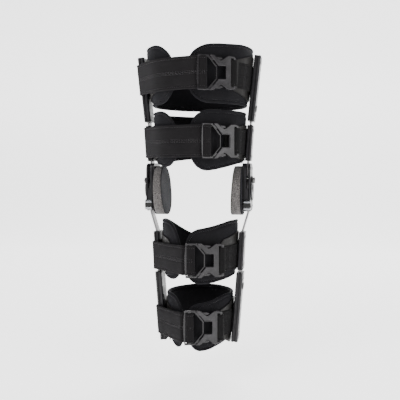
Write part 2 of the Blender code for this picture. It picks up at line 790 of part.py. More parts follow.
def build_strap(key, level):
    columns = 60
    rows = 2
    inner, outer = [], []
    for r in range(rows):
        z = level["z"] + level["strap"] * (r / (rows - 1) - 0.5)
        path = strap_path(level, z, columns)
        inside, outside = [], []
        for i, p in enumerate(path):
            ahead = path[min(i + 1, columns - 1)]
            behind = path[max(i - 1, 0)]
            run = (ahead - behind).normalized()
            normal = Vector((run.y, -run.x))
            if normal.dot(p) > 0:
                normal = -normal
            q = p + normal * STRAP_THICKNESS
            outside.append(Vector((p.x, p.y, z)))
            inside.append(Vector((q.x, q.y, z)))
        inner.append(inside)
        outer.append(outside)
    add_object(f"{key}_strap", shell_mesh(f"{key}_strap", inner, outer), "strap")


def build_webbing(key, level):
    """The short webbing from the female buckle half to its anchor between the right wing and channel."""
    columns = 12
    frame = buckle_frame(level)
    tail = frame @ Vector((BUCKLE_TAIL - 0.0050, BUCKLE_THICKNESS / 2 + GAP, 0.0))
    inner, outer = [], []
    for r in range(2):
        z = level["z"] + WEBBING_WIDTH * (r - 0.5)
        inside, outside = [], []
        first = math.degrees(math.atan2(tail.y - level["back"], tail.x)) + 7.0
        for c in range(columns):
            degrees = first + (9.0 - first) * c / (columns - 1)
            q = ring_point(level, z, GAP + WEBBING_THICKNESS, degrees)
            p = ring_point(level, z, GAP, degrees)
            if c == 0:
                p = Vector((tail.x, tail.y, z))
                outwards = Vector((frame[0][1], frame[1][1], 0.0))
                q = p + outwards * WEBBING_THICKNESS
            inside.append(q)
            outside.append(p)
        inner.append(inside)
        outer.append(outside)
    add_object(f"{key}_webbing", shell_mesh(f"{key}_webbing", inner, outer), "webbing")


# ---------------------------------------------------------------- buckles

def build_buckle(key, level):
    frame = buckle_frame(level)
    build_male(f"{key}_buckle_male", frame)
    build_female(f"{key}_buckle_female", frame)


def build_male(name, frame):
    """A bowed frame with a crossbar for the strap, and two prongs that reach into the female half."""
    h = BUCKLE_HALF_HEIGHT
    s0 = BUCKLE_MALE_START
    low_bar, high_bar = BUCKLE_CROSSBAR
    bow = [(s0 + BUCKLE_BOW * (i / 4 - 1) ** 2, h * (i / 4 - 1)) for i in range(9)]
    top = [(-0.0124, h), (-0.0116, 0.0268), (0.0060, 0.0262), (0.0098, 0.0252), (0.0112, 0.0235),
           (0.0098, 0.0217), (-0.0064, 0.0202), (0.0014, 0.0110)]
    outline = bow + top + mirrored(top)
    mesh = extrusion(name, outline, -PRONG_THICKNESS / 2, PRONG_THICKNESS / 2, "Y")
    male = add_object(name, mesh, "buckle", frame)
    edge = h - 0.0035
    bar_slot = rectangle(s0 + 0.0040, low_bar, -edge, edge)
    corner = [(high_bar, edge), (-0.0150, edge), (-0.0009, 0.0095)]
    wide_slot = corner + mirrored(corner)
    for i, slot in enumerate((bar_slot, wide_slot)):
        cut(male, extrusion(f"{name}_slot_{i}", slot, -0.01, 0.01, "Y"), frame)
    bevel(male, 0.0008, 2, 50.0)


def build_female(name, frame):
    """A butterfly plate with prong channels, notches over the prong tips, a window and a strap bar."""
    h = BUCKLE_HALF_HEIGHT
    t = BUCKLE_THICKNESS / 2
    s0 = BUCKLE_FEMALE_START
    tail = BUCKLE_TAIL
    top = [(0.0022, 0.0124), (s0, 0.0284), (s0, h), (-0.0055, h), (-0.0038, h - 0.0010), (0.0038, 0.0222),
           (0.0070, 0.0207), (0.0100, 0.0215), (0.0180, 0.0272), (0.0198, 0.0283), (0.0265, 0.0284),
           (tail - 0.0025, 0.0272), (tail, 0.0250)]
    mesh = extrusion(name, top + mirrored(top), -t, t, "Y")
    female = add_object(name, mesh, "buckle", frame)
    bevel(female, 0.0010, 2, 50.0)
    room = PRONG_THICKNESS / 2 + BUCKLE_FIT
    for side, (low, high) in (("top", (0.0193, 0.0272)), ("bottom", (-0.0272, -0.0193))):
        channel = rectangle(s0 - 0.01, 0.0165, low, high)
        cut(female, extrusion(f"{name}_{side}_channel", channel, -room, room, "Y"), frame)
    window = rectangle(-0.0100, 0.0162, -0.0110, 0.0110)
    slot = rectangle(*BUCKLE_SLOT, -0.0245, 0.0245)
    for label, opening in (("window", window), ("strap_slot", slot)):
        cut(female, extrusion(f"{name}_{label}", opening, -0.02, 0.02, "Y"), frame)


# ---------------------------------------------------------------- assembly

def main():
    clear_scene()
    for side in SIDES:
        build_bars(side)
        build_hinge(side)
        build_channels(side)
        for key, level in LEVELS.items():
            build_wing(side, key, level)
    for key, level in LEVELS.items():
        build_pad(key, level)
        build_strap(key, level)
        build_webbing(key, level)
        build_buckle(key, level)


main()
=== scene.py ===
"""Range-of-motion knee brace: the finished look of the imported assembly, laid out as a Blender add-on.

Metres, +Z up the thigh, +X towards the right upright, -Y towards the front. The knee centre is the origin.
"""
import math

import bmesh
import bpy
import numpy as np
from mathutils import Matrix, Vector, noise


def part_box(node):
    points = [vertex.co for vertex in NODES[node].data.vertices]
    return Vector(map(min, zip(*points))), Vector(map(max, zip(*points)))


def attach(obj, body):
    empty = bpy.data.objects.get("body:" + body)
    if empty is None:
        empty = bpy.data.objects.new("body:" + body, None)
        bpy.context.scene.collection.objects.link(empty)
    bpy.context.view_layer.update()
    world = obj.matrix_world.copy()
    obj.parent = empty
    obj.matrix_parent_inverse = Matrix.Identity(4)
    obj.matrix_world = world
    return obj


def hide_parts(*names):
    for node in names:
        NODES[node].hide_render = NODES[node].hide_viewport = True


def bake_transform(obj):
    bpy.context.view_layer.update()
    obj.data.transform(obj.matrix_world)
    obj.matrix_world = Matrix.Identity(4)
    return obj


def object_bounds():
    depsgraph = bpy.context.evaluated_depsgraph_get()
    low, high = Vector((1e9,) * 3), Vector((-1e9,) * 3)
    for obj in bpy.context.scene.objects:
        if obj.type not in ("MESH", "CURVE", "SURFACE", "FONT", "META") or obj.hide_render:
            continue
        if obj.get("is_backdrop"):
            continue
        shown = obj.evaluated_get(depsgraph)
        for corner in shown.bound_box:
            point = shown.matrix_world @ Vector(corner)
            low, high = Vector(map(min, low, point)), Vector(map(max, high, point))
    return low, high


bl_info = {
    "name": "Knee Brace",
    "version": (1, 0, 0),
    "blender": (4, 5, 0),
    "location": "View3D > Sidebar > Knee Brace",
    "description": "Builds the pads, straps, trim and finishes of a hinged knee brace on its packed frame",
    "category": "Object",
}

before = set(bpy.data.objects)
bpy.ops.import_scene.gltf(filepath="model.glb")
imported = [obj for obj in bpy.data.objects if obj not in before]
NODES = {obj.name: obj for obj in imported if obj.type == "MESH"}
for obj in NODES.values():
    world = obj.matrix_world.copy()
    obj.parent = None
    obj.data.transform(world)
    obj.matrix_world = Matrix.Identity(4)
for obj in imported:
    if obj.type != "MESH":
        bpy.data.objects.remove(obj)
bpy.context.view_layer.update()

# ---------------------------------------------------------------- fixed sizes, shared with the solids

GAP = 0.0003  # clearance between pieces that touch
PIVOT_X = 0.0886  # half width at the hinges

# Middle line of each flat bar, as height and distance from the middle plane.
THIGH_BAR_PATH = (
    (0.0184, PIVOT_X), (0.0470, PIVOT_X), (0.1160, PIVOT_X + 0.0047), (0.2140, PIVOT_X + 0.0156),
)
CALF_BAR_PATH = (
    (-0.0120, PIVOT_X), (-0.0430, PIVOT_X), (-0.0800, PIVOT_X - 0.0111),
    (-0.1480, PIVOT_X - 0.0141), (-0.2460, PIVOT_X - 0.0220),
)

# Lowest and highest point of each channel and bracket.
THIGH_CHANNEL = (0.1200, 0.2370)
THIGH_BRACKET = (0.0490, 0.1130)
CALF_BRACKET = (-0.1460, -0.0780)
CALF_CHANNEL = (-0.2740, -0.1510)
CHANNEL_THICKNESS = 0.0120
CHANNEL_WIDTH = 0.0320
CHANNEL_CHAMFER = 0.0022
BRACKET_THICKNESS = 0.0104
BRACKET_WIDTH = 0.0300

COVER_X = 0.0944  # outer face of the hinge covers
DIAL_X = 0.0967   # outer face of the stop dials
BUCKLE_THICKNESS = 0.0070
BUCKLE_STANDS_OFF = 0.0042  # from the strap line out to a buckle's inner face
BUCKLE_PLATE = 0.0030       # thickness of the male half's crossbar
WEB_DEPTH = GAP + 0.0016
WING_DEPTH = WEB_DEPTH + GAP + 0.0018

# Each cuff: strap height and width, lowest and highest point of its pad, the pad's end bearings, the
# channel or bracket that holds it, the buckle's bearing, the ring's depth against its width, how far
# back the ring sits, and the bodies at its two ends.
LEVELS = {
    "thigh_upper": dict(
        z=0.1955, strap=0.0550, pad=(0.1465, 0.2500), pad_arc=(-94.0, 110.0), span=THIGH_CHANNEL,
        depth=CHANNEL_THICKNESS, bearing=65.5, ratio=0.92, back=0.0020,
        left="left_thigh_slider", right="right_thigh_slider"),
    "thigh_lower": dict(
        z=0.0820, strap=0.0550, pad=(0.0300, 0.1360), pad_arc=(-94.0, 110.0), span=THIGH_BRACKET,
        depth=BRACKET_THICKNESS, bearing=59.5, ratio=0.92, back=0.0020,
        left="thigh_frame", right="thigh_frame"),
    "calf_upper": dict(
        z=-0.1210, strap=0.0500, pad=(-0.1650, -0.0560), pad_arc=(-104.0, 111.0), span=CALF_BRACKET,
        depth=BRACKET_THICKNESS, bearing=75.5, ratio=0.95, back=0.0040,
        left="calf_frame", right="calf_frame"),
    "calf_lower": dict(
        z=-0.2370, strap=0.0500, pad=(-0.2830, -0.1860), pad_arc=(-104.0, 111.0), span=CALF_CHANNEL,
        depth=CHANNEL_THICKNESS, bearing=76.5, ratio=0.98, back=0.0040,
        left="left_calf_slider", right="right_calf_slider"),
}
SIDES = {"left": -1.0, "right": 1.0}


# ---------------------------------------------------------------- settings

class BraceSizes(bpy.types.PropertyGroup):
    """Sizes of the soft pieces and the trim"""

    strap_thickness: bpy.props.FloatProperty(
        name="Strap thickness", description="Thickness of the long loop straps",
        default=0.0022, unit="LENGTH")
    webbing_thickness: bpy.props.FloatProperty(
        name="Webbing thickness", description="Thickness of the short right webbings",
        default=0.0016, unit="LENGTH")
    webbing_width: bpy.props.FloatProperty(
        name="Webbing width", description="Width of the short right webbings",
        default=0.0440, unit="LENGTH")
    pad_thickness: bpy.props.FloatProperty(
        name="Pad thickness", description="Thickness of the cuff pads",
        default=0.0070, unit="LENGTH")
    stitch_pitch: bpy.props.FloatProperty(
        name="Stitch pitch", description="Distance from one stitch to the next",
        default=0.0034, unit="LENGTH")
    hem: bpy.props.FloatProperty(
        name="Hem width", description="Width of a strap's sewn hem",
        default=0.0042, unit="LENGTH")


class BraceColours(bpy.types.PropertyGroup):
    """Colours of the brace's finishes"""

    strap: bpy.props.FloatVectorProperty(
        name="Strap", description="Brushed loop fabric",
        size=3, default=(0.0036, 0.0032, 0.0035), subtype="COLOR")
    pad: bpy.props.FloatVectorProperty(
        name="Pad", description="Fabric laminated to the pad foam",
        size=3, default=(0.0030, 0.0028, 0.0036), subtype="COLOR")
    thread: bpy.props.FloatVectorProperty(
        name="Thread", description="Stitching",
        size=3, default=(0.024, 0.0225, 0.025), subtype="COLOR")
    foam: bpy.props.FloatVectorProperty(
        name="Foam", description="Heather gray condyle foam",
        size=3, default=(0.082, 0.076, 0.074), subtype="COLOR")
    shell: bpy.props.FloatVectorProperty(
        name="Shell", description="Black moulded plastic",
        size=3, default=(0.0060, 0.0057, 0.0064), subtype="COLOR")
    cover: bpy.props.FloatVectorProperty(
        name="Cover", description="Gray satin plastic",
        size=3, default=(0.0120, 0.0114, 0.0110), subtype="COLOR")
    buckle: bpy.props.FloatVectorProperty(
        name="Buckle", description="Satin moulded buckle plastic",
        size=3, default=(0.0060, 0.0055, 0.0061), subtype="COLOR")
    floor: bpy.props.FloatVectorProperty(
        name="Floor", description="Studio floor and wall",
        size=3, default=(0.90, 0.90, 0.90), subtype="COLOR")


def sizes():
    return bpy.context.scene.knee_brace_sizes


def colours():
    return bpy.context.scene.knee_brace_colours


# ---------------------------------------------------------------- materials

class Shader:
    """A material's node tree with short ways to add to it."""

    def __init__(self, name, colour, roughness, metallic=0.0):
        self.material = bpy.data.materials.new(name)
        self.material.use_nodes = True
        self.nodes = self.material.node_tree.nodes
        self.links = self.material.node_tree.links
        self.shader = self.nodes["Principled BSDF"]
        self.shader.inputs["Base Color"].default_value = (*colour, 1.0)
        self.shader.inputs["Roughness"].default_value = roughness
        self.shader.inputs["Metallic"].default_value = metallic
        self.place = self.nodes.new("ShaderNodeTexCoord").outputs["Object"]
        self.height = None

    def add(self, kind, **values):
        node = self.nodes.new(kind)
        for key, value in values.items():
            if key in node.inputs:
                node.inputs[key].default_value = value
            else:
                setattr(node, key, value)
        return node

    def scaled(self, scale, source=None):
        node = self.add("ShaderNodeMapping")
        node.inputs["Scale"].default_value = scale
        self.links.new(source or self.place, node.inputs["Vector"])
        return node.outputs["Vector"]

    def noise(self, scale, detail=4.0, rough=0.55, source=None):
        node = self.add("ShaderNodeTexNoise", Scale=scale, Detail=detail, Roughness=rough)
        self.links.new(source or self.place, node.inputs["Vector"])
        return node.outputs["Fac"]

    def voronoi(self, scale):
        node = self.add("ShaderNodeTexVoronoi", Scale=scale)
        self.links.new(self.place, node.inputs["Vector"])
        return node.outputs["Distance"]

    def wave(self, scale, direction="X", distortion=0.0, source=None):
        node = self.add("ShaderNodeTexWave", Scale=scale, Distortion=distortion, bands_direction=direction)
        self.links.new(source or self.place, node.inputs["Vector"])
        return node.outputs["Fac"]

    def ramp(self, value, low, high, low_to, high_to):
        node = self.add("ShaderNodeMapRange")
        for name, number in (("From Min", low), ("From Max", high), ("To Min", low_to), ("To Max", high_to)):
            node.inputs[name].default_value = number
        self.links.new(value, node.inputs["Value"])
        return node.outputs["Result"]

    def math(self, operation, a, b):
        node = self.add("ShaderNodeMath", operation=operation)
        for socket, value in zip(node.inputs, (a, b)):
            if isinstance(value, (int, float)):
                socket.default_value = value
            else:
                self.links.new(value, socket)
        return node.outputs["Value"]

    def mix(self, value, first, second):
        node = self.add("ShaderNodeMix", data_type="RGBA")
        self.links.new(value, node.inputs[0])
        for socket, colour in ((node.inputs[6], first), (node.inputs[7], second)):
            if isinstance(colour, tuple):
                socket.default_value = (*colour, 1.0)
            else:
                self.links.new(colour, socket)
        return node.outputs[2]

    def colour(self, output):
        self.links.new(output, self.shader.inputs["Base Color"])

    def roughness(self, output):
        self.links.new(output, self.shader.inputs["Roughness"])

    def bump(self, height, strength, distance):
        node = self.add("ShaderNodeBump", Strength=strength, Distance=distance)
        self.links.new(height, node.inputs["Height"])
        if self.height is not None:
            self.links.new(self.height, node.inputs["Normal"])
        self.height = node.outputs["Normal"]
        self.links.new(self.height, self.shader.inputs["Normal"])

    def set(self, name, value):
        self.shader.inputs[name].default_value = value


def tint(colour, factor):
    return tuple(channel * factor for channel in colour)


def painted_edge_highlight(shader, base, lighter):
    """Paints a highlight on convex edges: lightens them a little, in patches."""
    geometry = shader.add("ShaderNodeNewGeometry")
    # convex edges found by pointiness carry the painted highlight, broken into patches by noise
    edge_highlight_mask = shader.ramp(geometry.outputs["Pointiness"], 0.50, 0.56, 0.0, 1.0)
    patchy_highlight = shader.math("MULTIPLY", edge_highlight_mask, shader.ramp(shader.noise(90.0), 0.35, 0.65, 0.35, 1.0))
    return shader.mix(patchy_highlight, base, lighter)


def loop_fabric():
    """Brushed loop fabric: short pile over a fine knit, slightly lighter where it is rubbed."""
    base = tuple(colours().strap)
    made = Shader("brushed_loop_fabric", base, 0.95)
    pile = made.noise(2600.0, 3.0, 0.7)
    cloud = made.noise(38.0, 5.0, 0.6)
    ribs = made.wave(620.0, "Z", 1.2)
    rub = made.mix(made.ramp(cloud, 0.35, 0.70, 0.0, 1.0), tint(base, 0.75), tint(base, 1.55))
    fuzz = made.mix(made.ramp(pile, 0.40, 0.75, 0.0, 0.55), rub, tint(base, 3.0))
    made.colour(fuzz)
    made.roughness(made.ramp(pile, 0.3, 0.7, 0.88, 1.0))
    made.bump(pile, 0.55, 0.0005)
    made.bump(ribs, 0.18, 0.0003)
    made.bump(cloud, 0.25, 0.0010)
    made.set("Sheen Weight", 0.05)
    made.set("Sheen Roughness", 0.55)
    made.set("Sheen Tint", (0.80, 0.78, 0.84, 1.0))
    made.set("Specular IOR Level", 0.12)
    return made.material


KNIT_SCALE = 900.0  # ribs of the pad fabric's knit, per metre


def pad_fabric():
    """Smooth laminated knit: a fine diagonal weave with faint puckers."""
    base = tuple(colours().pad)
    made = Shader("laminated_pad_fabric", base, 0.85)
    turned = made.add("ShaderNodeMapping")
    turned.inputs["Rotation"].default_value = (0.6, 0.4, 0.8)
    made.links.new(made.place, turned.inputs["Vector"])
    across = made.wave(KNIT_SCALE, "X", 0.4, turned.outputs[0])
    along = made.wave(KNIT_SCALE, "Y", 0.4, turned.outputs[0])
    knit = made.math("MULTIPLY", across, along)
    cloud = made.noise(24.0, 5.0, 0.55)
    fine = made.noise(1900.0, 2.0, 0.6)
    shade = made.mix(made.ramp(cloud, 0.3, 0.7, 0.0, 1.0), tint(base, 0.80), tint(base, 1.50))
    made.colour(made.mix(made.ramp(fine, 0.45, 0.8, 0.0, 0.5), shade, tint(base, 2.6)))
    made.roughness(made.ramp(cloud, 0.3, 0.7, 0.74, 0.92))
    made.bump(knit, 0.22, 0.0003)
    made.bump(fine, 0.25, 0.0003)
    made.bump(made.noise(60.0, 3.0), 0.16, 0.0012)
    made.set("Sheen Weight", 0.05)
    made.set("Sheen Roughness", 0.45)
    made.set("Sheen Tint", (0.72, 0.74, 0.86, 1.0))
    made.set("Specular IOR Level", 0.13)
    return made.material


def webbing_fabric():
    """Tight woven webbing with ribs along its length."""
    base = tint(tuple(colours().strap), 0.65)
    made = Shader("woven_webbing", base, 0.8)
    ribs = made.wave(330.0, "Z", 0.3)
    across = made.wave(520.0, "X", 0.6)
    weave = made.math("MULTIPLY", ribs, made.ramp(across, 0.0, 1.0, 0.6, 1.0))
    made.colour(made.mix(weave, tint(base, 0.65), tint(base, 1.9)))
    made.roughness(made.ramp(made.noise(700.0), 0.3, 0.7, 0.70, 0.90))
    made.bump(weave, 0.5, 0.0005)
    made.bump(made.noise(1500.0), 0.2, 0.0002)
    made.set("Sheen Weight", 0.02)
    made.set("Specular IOR Level", 0.14)
    return made.material


def thread_finish():
    base = tuple(colours().thread)
    made = Shader("sewing_thread", base, 0.6)
    twist = made.wave(1400.0, "DIAGONAL", 0.5)
    made.colour(made.mix(twist, tint(base, 0.7), tint(base, 1.5)))
    made.bump(twist, 0.4, 0.0002)
    made.set("Sheen Weight", 0.2)
    return made.material


def foam_finish():
    """Heather gray foam laminate: open cells flecked light and dark."""
    base = tuple(colours().foam)
    made = Shader("heather_foam", base, 0.95)
    fleck = made.noise(520.0, 4.0, 0.78)
    cells = made.voronoi(460.0)
    cloud = made.noise(55.0, 4.0)
    body = made.mix(made.ramp(fleck, 0.38, 0.62, 0.0, 1.0), tint(base, 0.22), tint(base, 1.75))
    body = made.mix(made.ramp(cloud, 0.35, 0.7, 0.0, 0.4), body, tint(base, 0.60))
    made.colour(made.mix(made.ramp(cells, 0.0, 0.45, 0.5, 0.0), body, tint(base, 0.22)))
    made.bump(cells, 0.5, 0.0006)
    made.bump(fleck, 0.4, 0.0004)
    made.set("Sheen Weight", 0.3)
    made.set("Specular IOR Level", 0.15)
    return made.material


def moulded_plastic(name, base, rough, grain=1500.0, grain_depth=0.10, edge_highlight_gain=2.6):
    made = Shader(name, base, rough)
    cloud = made.noise(32.0, 4.0)
    grit = made.noise(grain, 3.0, 0.6)
    shade = made.mix(made.ramp(cloud, 0.3, 0.7, 0.0, 1.0), tint(base, 0.86), tint(base, 1.16))
    # the edges get a painted highlight: the base lightened by the factor in the last argument
    made.colour(painted_edge_highlight(made, shade, tint(base, edge_highlight_gain)))
    scuffs = made.noise(1.0, 5.0, 0.65, made.scaled((60.0, 60.0, 420.0)))
    made.roughness(made.math("ADD", made.ramp(scuffs, 0.35, 0.75, rough - 0.06, rough + 0.12),
                             made.ramp(grit, 0.3, 0.7, -0.03, 0.03)))
    made.bump(grit, grain_depth, 0.0002)
    made.bump(scuffs, 0.05, 0.0002)
    return made


def shell_plastic():
    # edges get a painted highlight at the default 2.6 times the base colour
    made = moulded_plastic("black_shell_plastic", tuple(colours().shell), 0.34)
    made.set("Specular IOR Level", 0.24)
    return made.material


def wing_plastic():
    # edges get a painted highlight at 2.0 times the base colour
    made = moulded_plastic("sheet_wing_plastic", tint(tuple(colours().cover), 0.7), 0.44, 900.0, 0.16, 2.0)
    made.set("Specular IOR Level", 0.18)
    return made.material


def buckle_plastic():
    # edges get a strong painted highlight at 4.2 times the base colour
    made = moulded_plastic("buckle_plastic", tuple(colours().buckle), 0.20, 1700.0, 0.05, 4.2)
    made.set("Specular IOR Level", 0.24)
    made.set("Coat Weight", 0.22)
    made.set("Coat Roughness", 0.12)
    return made.material


def bar_metal():
    """Flat bar: brushed along its length, a little dull."""
    made = Shader("brushed_bar", (0.20, 0.195, 0.20), 0.34, 1.0)
    brushed = made.noise(1.0, 4.0, 0.6, made.scaled((900.0, 900.0, 40.0)))
    stain = made.noise(70.0, 4.0)
    made.colour(made.mix(made.ramp(stain, 0.35, 0.7, 0.0, 1.0), (0.15, 0.147, 0.15), (0.27, 0.262, 0.265)))
    made.roughness(made.ramp(brushed, 0.3, 0.7, 0.28, 0.50))
    made.bump(brushed, 0.15, 0.0001)
    return made.material


def latch_metal():
    made = Shader("plated_latch", (0.30, 0.31, 0.33), 0.22, 1.0)
    fine = made.noise(1.0, 3.0, 0.6, made.scaled((300.0, 1200.0, 300.0)))
    cloud = made.ramp(made.noise(120.0), 0.3, 0.7, 0.0, 1.0)
    made.colour(made.mix(cloud, (0.24, 0.25, 0.27), (0.36, 0.365, 0.38)))
    made.roughness(made.ramp(fine, 0.3, 0.7, 0.14, 0.30))
    made.bump(fine, 0.06, 0.0001)
    return made.material


def dark_metal():
    made = Shader("dark_rivet_metal", (0.10, 0.098, 0.10), 0.34, 1.0)
    made.roughness(made.ramp(made.noise(400.0), 0.3, 0.7, 0.25, 0.5))
    made.colour(made.mix(made.noise(150.0), (0.07, 0.07, 0.072), (0.16, 0.155, 0.15)))
    made.bump(made.noise(800.0), 0.1, 0.0001)
    return made.material


def rubber_grip():
    made = Shader("ribbed_grip", (0.012, 0.012, 0.012), 0.6)
    made.colour(made.mix(made.noise(500.0), (0.009, 0.009, 0.009), (0.022, 0.022, 0.022)))
    made.bump(made.noise(1800.0), 0.2, 0.0002)
    made.set("Specular IOR Level", 0.4)
    return made.material


def stop_plastic():
    base = tint(tuple(colours().cover), 3.0)
    # edges get a painted highlight at 1.4 times the base colour
    return moulded_plastic("gray_stop_plastic", base, 0.42, 1200.0, 0.10, 1.4).material


MAKERS = {
    "loop": loop_fabric, "pad": pad_fabric, "webbing": webbing_fabric, "thread": thread_finish,
    "foam": foam_finish, "shell": shell_plastic, "wing": wing_plastic,
    "buckle": buckle_plastic, "metal": bar_metal, "latch": latch_metal, "dark_metal": dark_metal,
    "grip": rubber_grip, "stop": stop_plastic,
}
FINISHES = {}


def finish(name):
    if name not in FINISHES:
        FINISHES[name] = MAKERS[name]()
    return FINISHES[name]


# ---------------------------------------------------------------- mesh helpers

def add_piece(name, verts, faces, finish_name, smooth_angle):
    mesh = bpy.data.meshes.new(name)
    mesh.from_pydata([tuple(v) for v in verts], [], faces)
    mesh.validate()
    for face in mesh.polygons:
        face.use_smooth = True
    mesh.set_sharp_from_angle(angle=math.radians(smooth_angle))
    obj = bpy.data.objects.new(name, mesh)
    bpy.context.scene.collection.objects.link(obj)
    mesh.materials.append(finish(finish_name))
    return obj


def loft(rings):
    """Vertices and faces of a closed solid through rings of equal length, capped at both ends."""
    size = len(rings[0])
    verts = [p for ring in rings for p in ring]
    faces = []
    for r in range(len(rings) - 1):
        for i in range(size):
            j = (i + 1) % size
            faces.append((r * size + i, r * size + j, (r + 1) * size + j, (r + 1) * size + i))
    faces.append(tuple(reversed(range(size))))
    last = (len(rings) - 1) * size
    faces.append(tuple(last + i for i in range(size)))
    return verts, faces


def face_out(obj):
    """Turns a closed mesh's faces outwards."""
    work = bmesh.new()
    work.from_mesh(obj.data)
    bmesh.ops.recalc_face_normals(work, faces=work.faces)
    work.to_mesh(obj.data)
    work.free()
    return obj


# Points 0 and 1 are a stitch's ends; 2 to 4 and 5 to 7 cross its ridge near each end.
STITCH_FACES = ((0, 2, 3), (0, 3, 4), (2, 5, 6, 3), (3, 6, 7, 4), (5, 1, 6), (6, 1, 7), (0, 4, 2), (1, 5, 7),
                (2, 4, 7, 5))


class Gathered:
    """Many small solids gathered into one mesh."""

    def __init__(self):
        self.verts = []
        self.faces = []

    def add(self, verts, faces):
        base = len(self.verts)
        self.verts += verts
        self.faces += [tuple(base + i for i in face) for face in faces]

    def stitch(self, start, end, normal, width=0.00055, rise=0.0004):
        """One stitch: a low ridge that dips into the fabric at both ends."""
        along = end - start
        length = along.length
        if length < 1e-6:
            return
        along = along / length
        side = normal.cross(along).normalized() * (width / 2)
        mid_a = start + along * (0.25 * length)
        mid_b = start + along * (0.75 * length)
        sink = -normal * (rise * 0.9)
        points = [start + sink, end + sink]
        for m in (mid_a, mid_b):
            points += [m - side + sink * 0.3, m + normal * rise, m + side + sink * 0.3]
        self.add(points, STITCH_FACES)

    def rivet(self, centre, normal, radius, rise):
        """A domed rivet head."""
        u = normal.orthogonal().normalized()
        v = normal.cross(u)
        spokes = [u * x + v * y for x, y in circle(1.0, 14)]
        rings = []
        for grow, lift in ((1.0, -0.25), (1.0, 0.35), (0.86, 0.72), (0.52, 0.95)):
            level = centre + normal * (rise * lift)
            rings.append([level + spoke * (radius * grow) for spoke in spokes])
        self.add(*loft(rings))

    def object(self, name, finish_name, smooth_angle=50.0):
        return face_out(add_piece(name, self.verts, self.faces, finish_name, smooth_angle))


# ---------------------------------------------------------------- shared layout

def circle(radius, count, centre=(0.0, 0.0)):
    turns = [math.tau * i / count for i in range(count)]
    return [(centre[0] + radius * math.cos(t), centre[1] + radius * math.sin(t)) for t in turns]


def path_x(path, z):
    """A bar's distance from the middle plane at a height; its end stretches run on past its ends."""
    points = sorted(path)
    for (z0, x0), (z1, x1) in zip(points, points[1:]):
        if z <= z1 or (z1, x1) == points[-1]:
            if z >= z0 or (z0, x0) == points[0]:
                return x0 + (x1 - x0) * (z - z0) / (z1 - z0)
    raise ValueError("height off the path")


def bar_x(z):
    return path_x(THIGH_BAR_PATH if z > 0.0 else CALF_BAR_PATH, z)


def tilt_at(z_low, z_high):
    return math.atan2(bar_x(z_high) - bar_x(z_low), z_high - z_low)


def upright_frame(side, span):
    """Local frame of a channel or bracket: origin at its lower end, Z up along it."""
    sign = SIDES[side]
    lean = Matrix.Rotation(sign * tilt_at(*span), 4, "Y")
    return Matrix.Translation((sign * bar_x(span[0]), 0.0, span[0])) @ lean


def channel_inner(level, z):
    """Distance from the middle plane to the inner face of the cuff's channel at a height."""
    low, high = level["span"]
    lean = (bar_x(high) - bar_x(low)) / (high - low)
    return bar_x(low) + lean * (z - low) - level["depth"] / 2 / math.cos(math.atan(lean))


def layer(level, z, offset):
    """Half width and half depth of the cuff's ring at a height, this far inside the channels."""
    return channel_inner(level, z) - offset, channel_inner(level, z) * level["ratio"] - offset


def ring_point(level, z, offset, degrees):
    a, b = layer(level, z, offset)
    t = math.radians(degrees)
    return Vector((a * math.cos(t), level["back"] + b * math.sin(t), z))


def ring_normal(level, z, degrees):
    a, b = layer(level, z, 0.0)
    t = math.radians(degrees)
    return Vector((math.cos(t) / a, math.sin(t) / b, 0.0)).normalized()


def channel_width(level):
    return CHANNEL_WIDTH if level["depth"] == CHANNEL_THICKNESS else BRACKET_WIDTH


def buckle_frame(level):
    """Local frame of a buckle: X along the strap to the right, Y inwards to the leg, Z up."""
    bearing = -level["bearing"]
    t = math.radians(bearing)
    a, b = layer(level, level["z"], 0.0)
    along = Vector((-a * math.sin(t), b * math.cos(t), 0.0)).normalized()
    outwards = Vector((along.y, -along.x, 0.0))
    centre = ring_point(level, level["z"], 0.0, bearing)
    centre += outwards * (BUCKLE_THICKNESS / 2 + BUCKLE_STANDS_OFF)
    return Matrix((
        (along.x, -outwards.x, 0.0, centre.x),
        (along.y, -outwards.y, 0.0, centre.y),
        (along.z, -outwards.z, 1.0, centre.z),
        (0.0, 0.0, 0.0, 1.0),
    ))


def smooth_step(value, low, high):
    t = min(1.0, max(0.0, (value - low) / (high - low)))
    return t * t * (3.0 - 2.0 * t)


# ---------------------------------------------------------------- cuff pads

PAD_TONGUE = 0.0140  # half height of a pad's ends before they round off
PAD_TIPS = (24.0, 31.0)  # degrees over which the right and the left end round off
PAD_MIDDLE = 0.0040  # from the channels in to the ring that a pad is laid flat on
PAD_MESH = 0.0075  # spacing away from the edges
PAD_MESH_HEIGHT = 0.11  # height that the rows are spaced for
PAD_EDGE = 0.0036  # radius of the rolled edge
PAD_SEAM_INSET = 0.0054  # from the edge in to the seam's groove
PAD_GROOVE = 0.0011  # half width of the groove
PAD_OUTER_SHARE = 0.48  # share of a pad's thickness outside its middle surface
PAD_INNER_SHARE = 0.56
PAD_UNDER_STRAP = 0.0011  # less the gap, how far a pad lies under the strap line away from the wings
PAD_SOFTNESS = 0.0006  # unevenness of its faces
PAD_SEAM_STEPS = 220
STITCH_LENGTH = 0.66  # of a pad seam's pitch


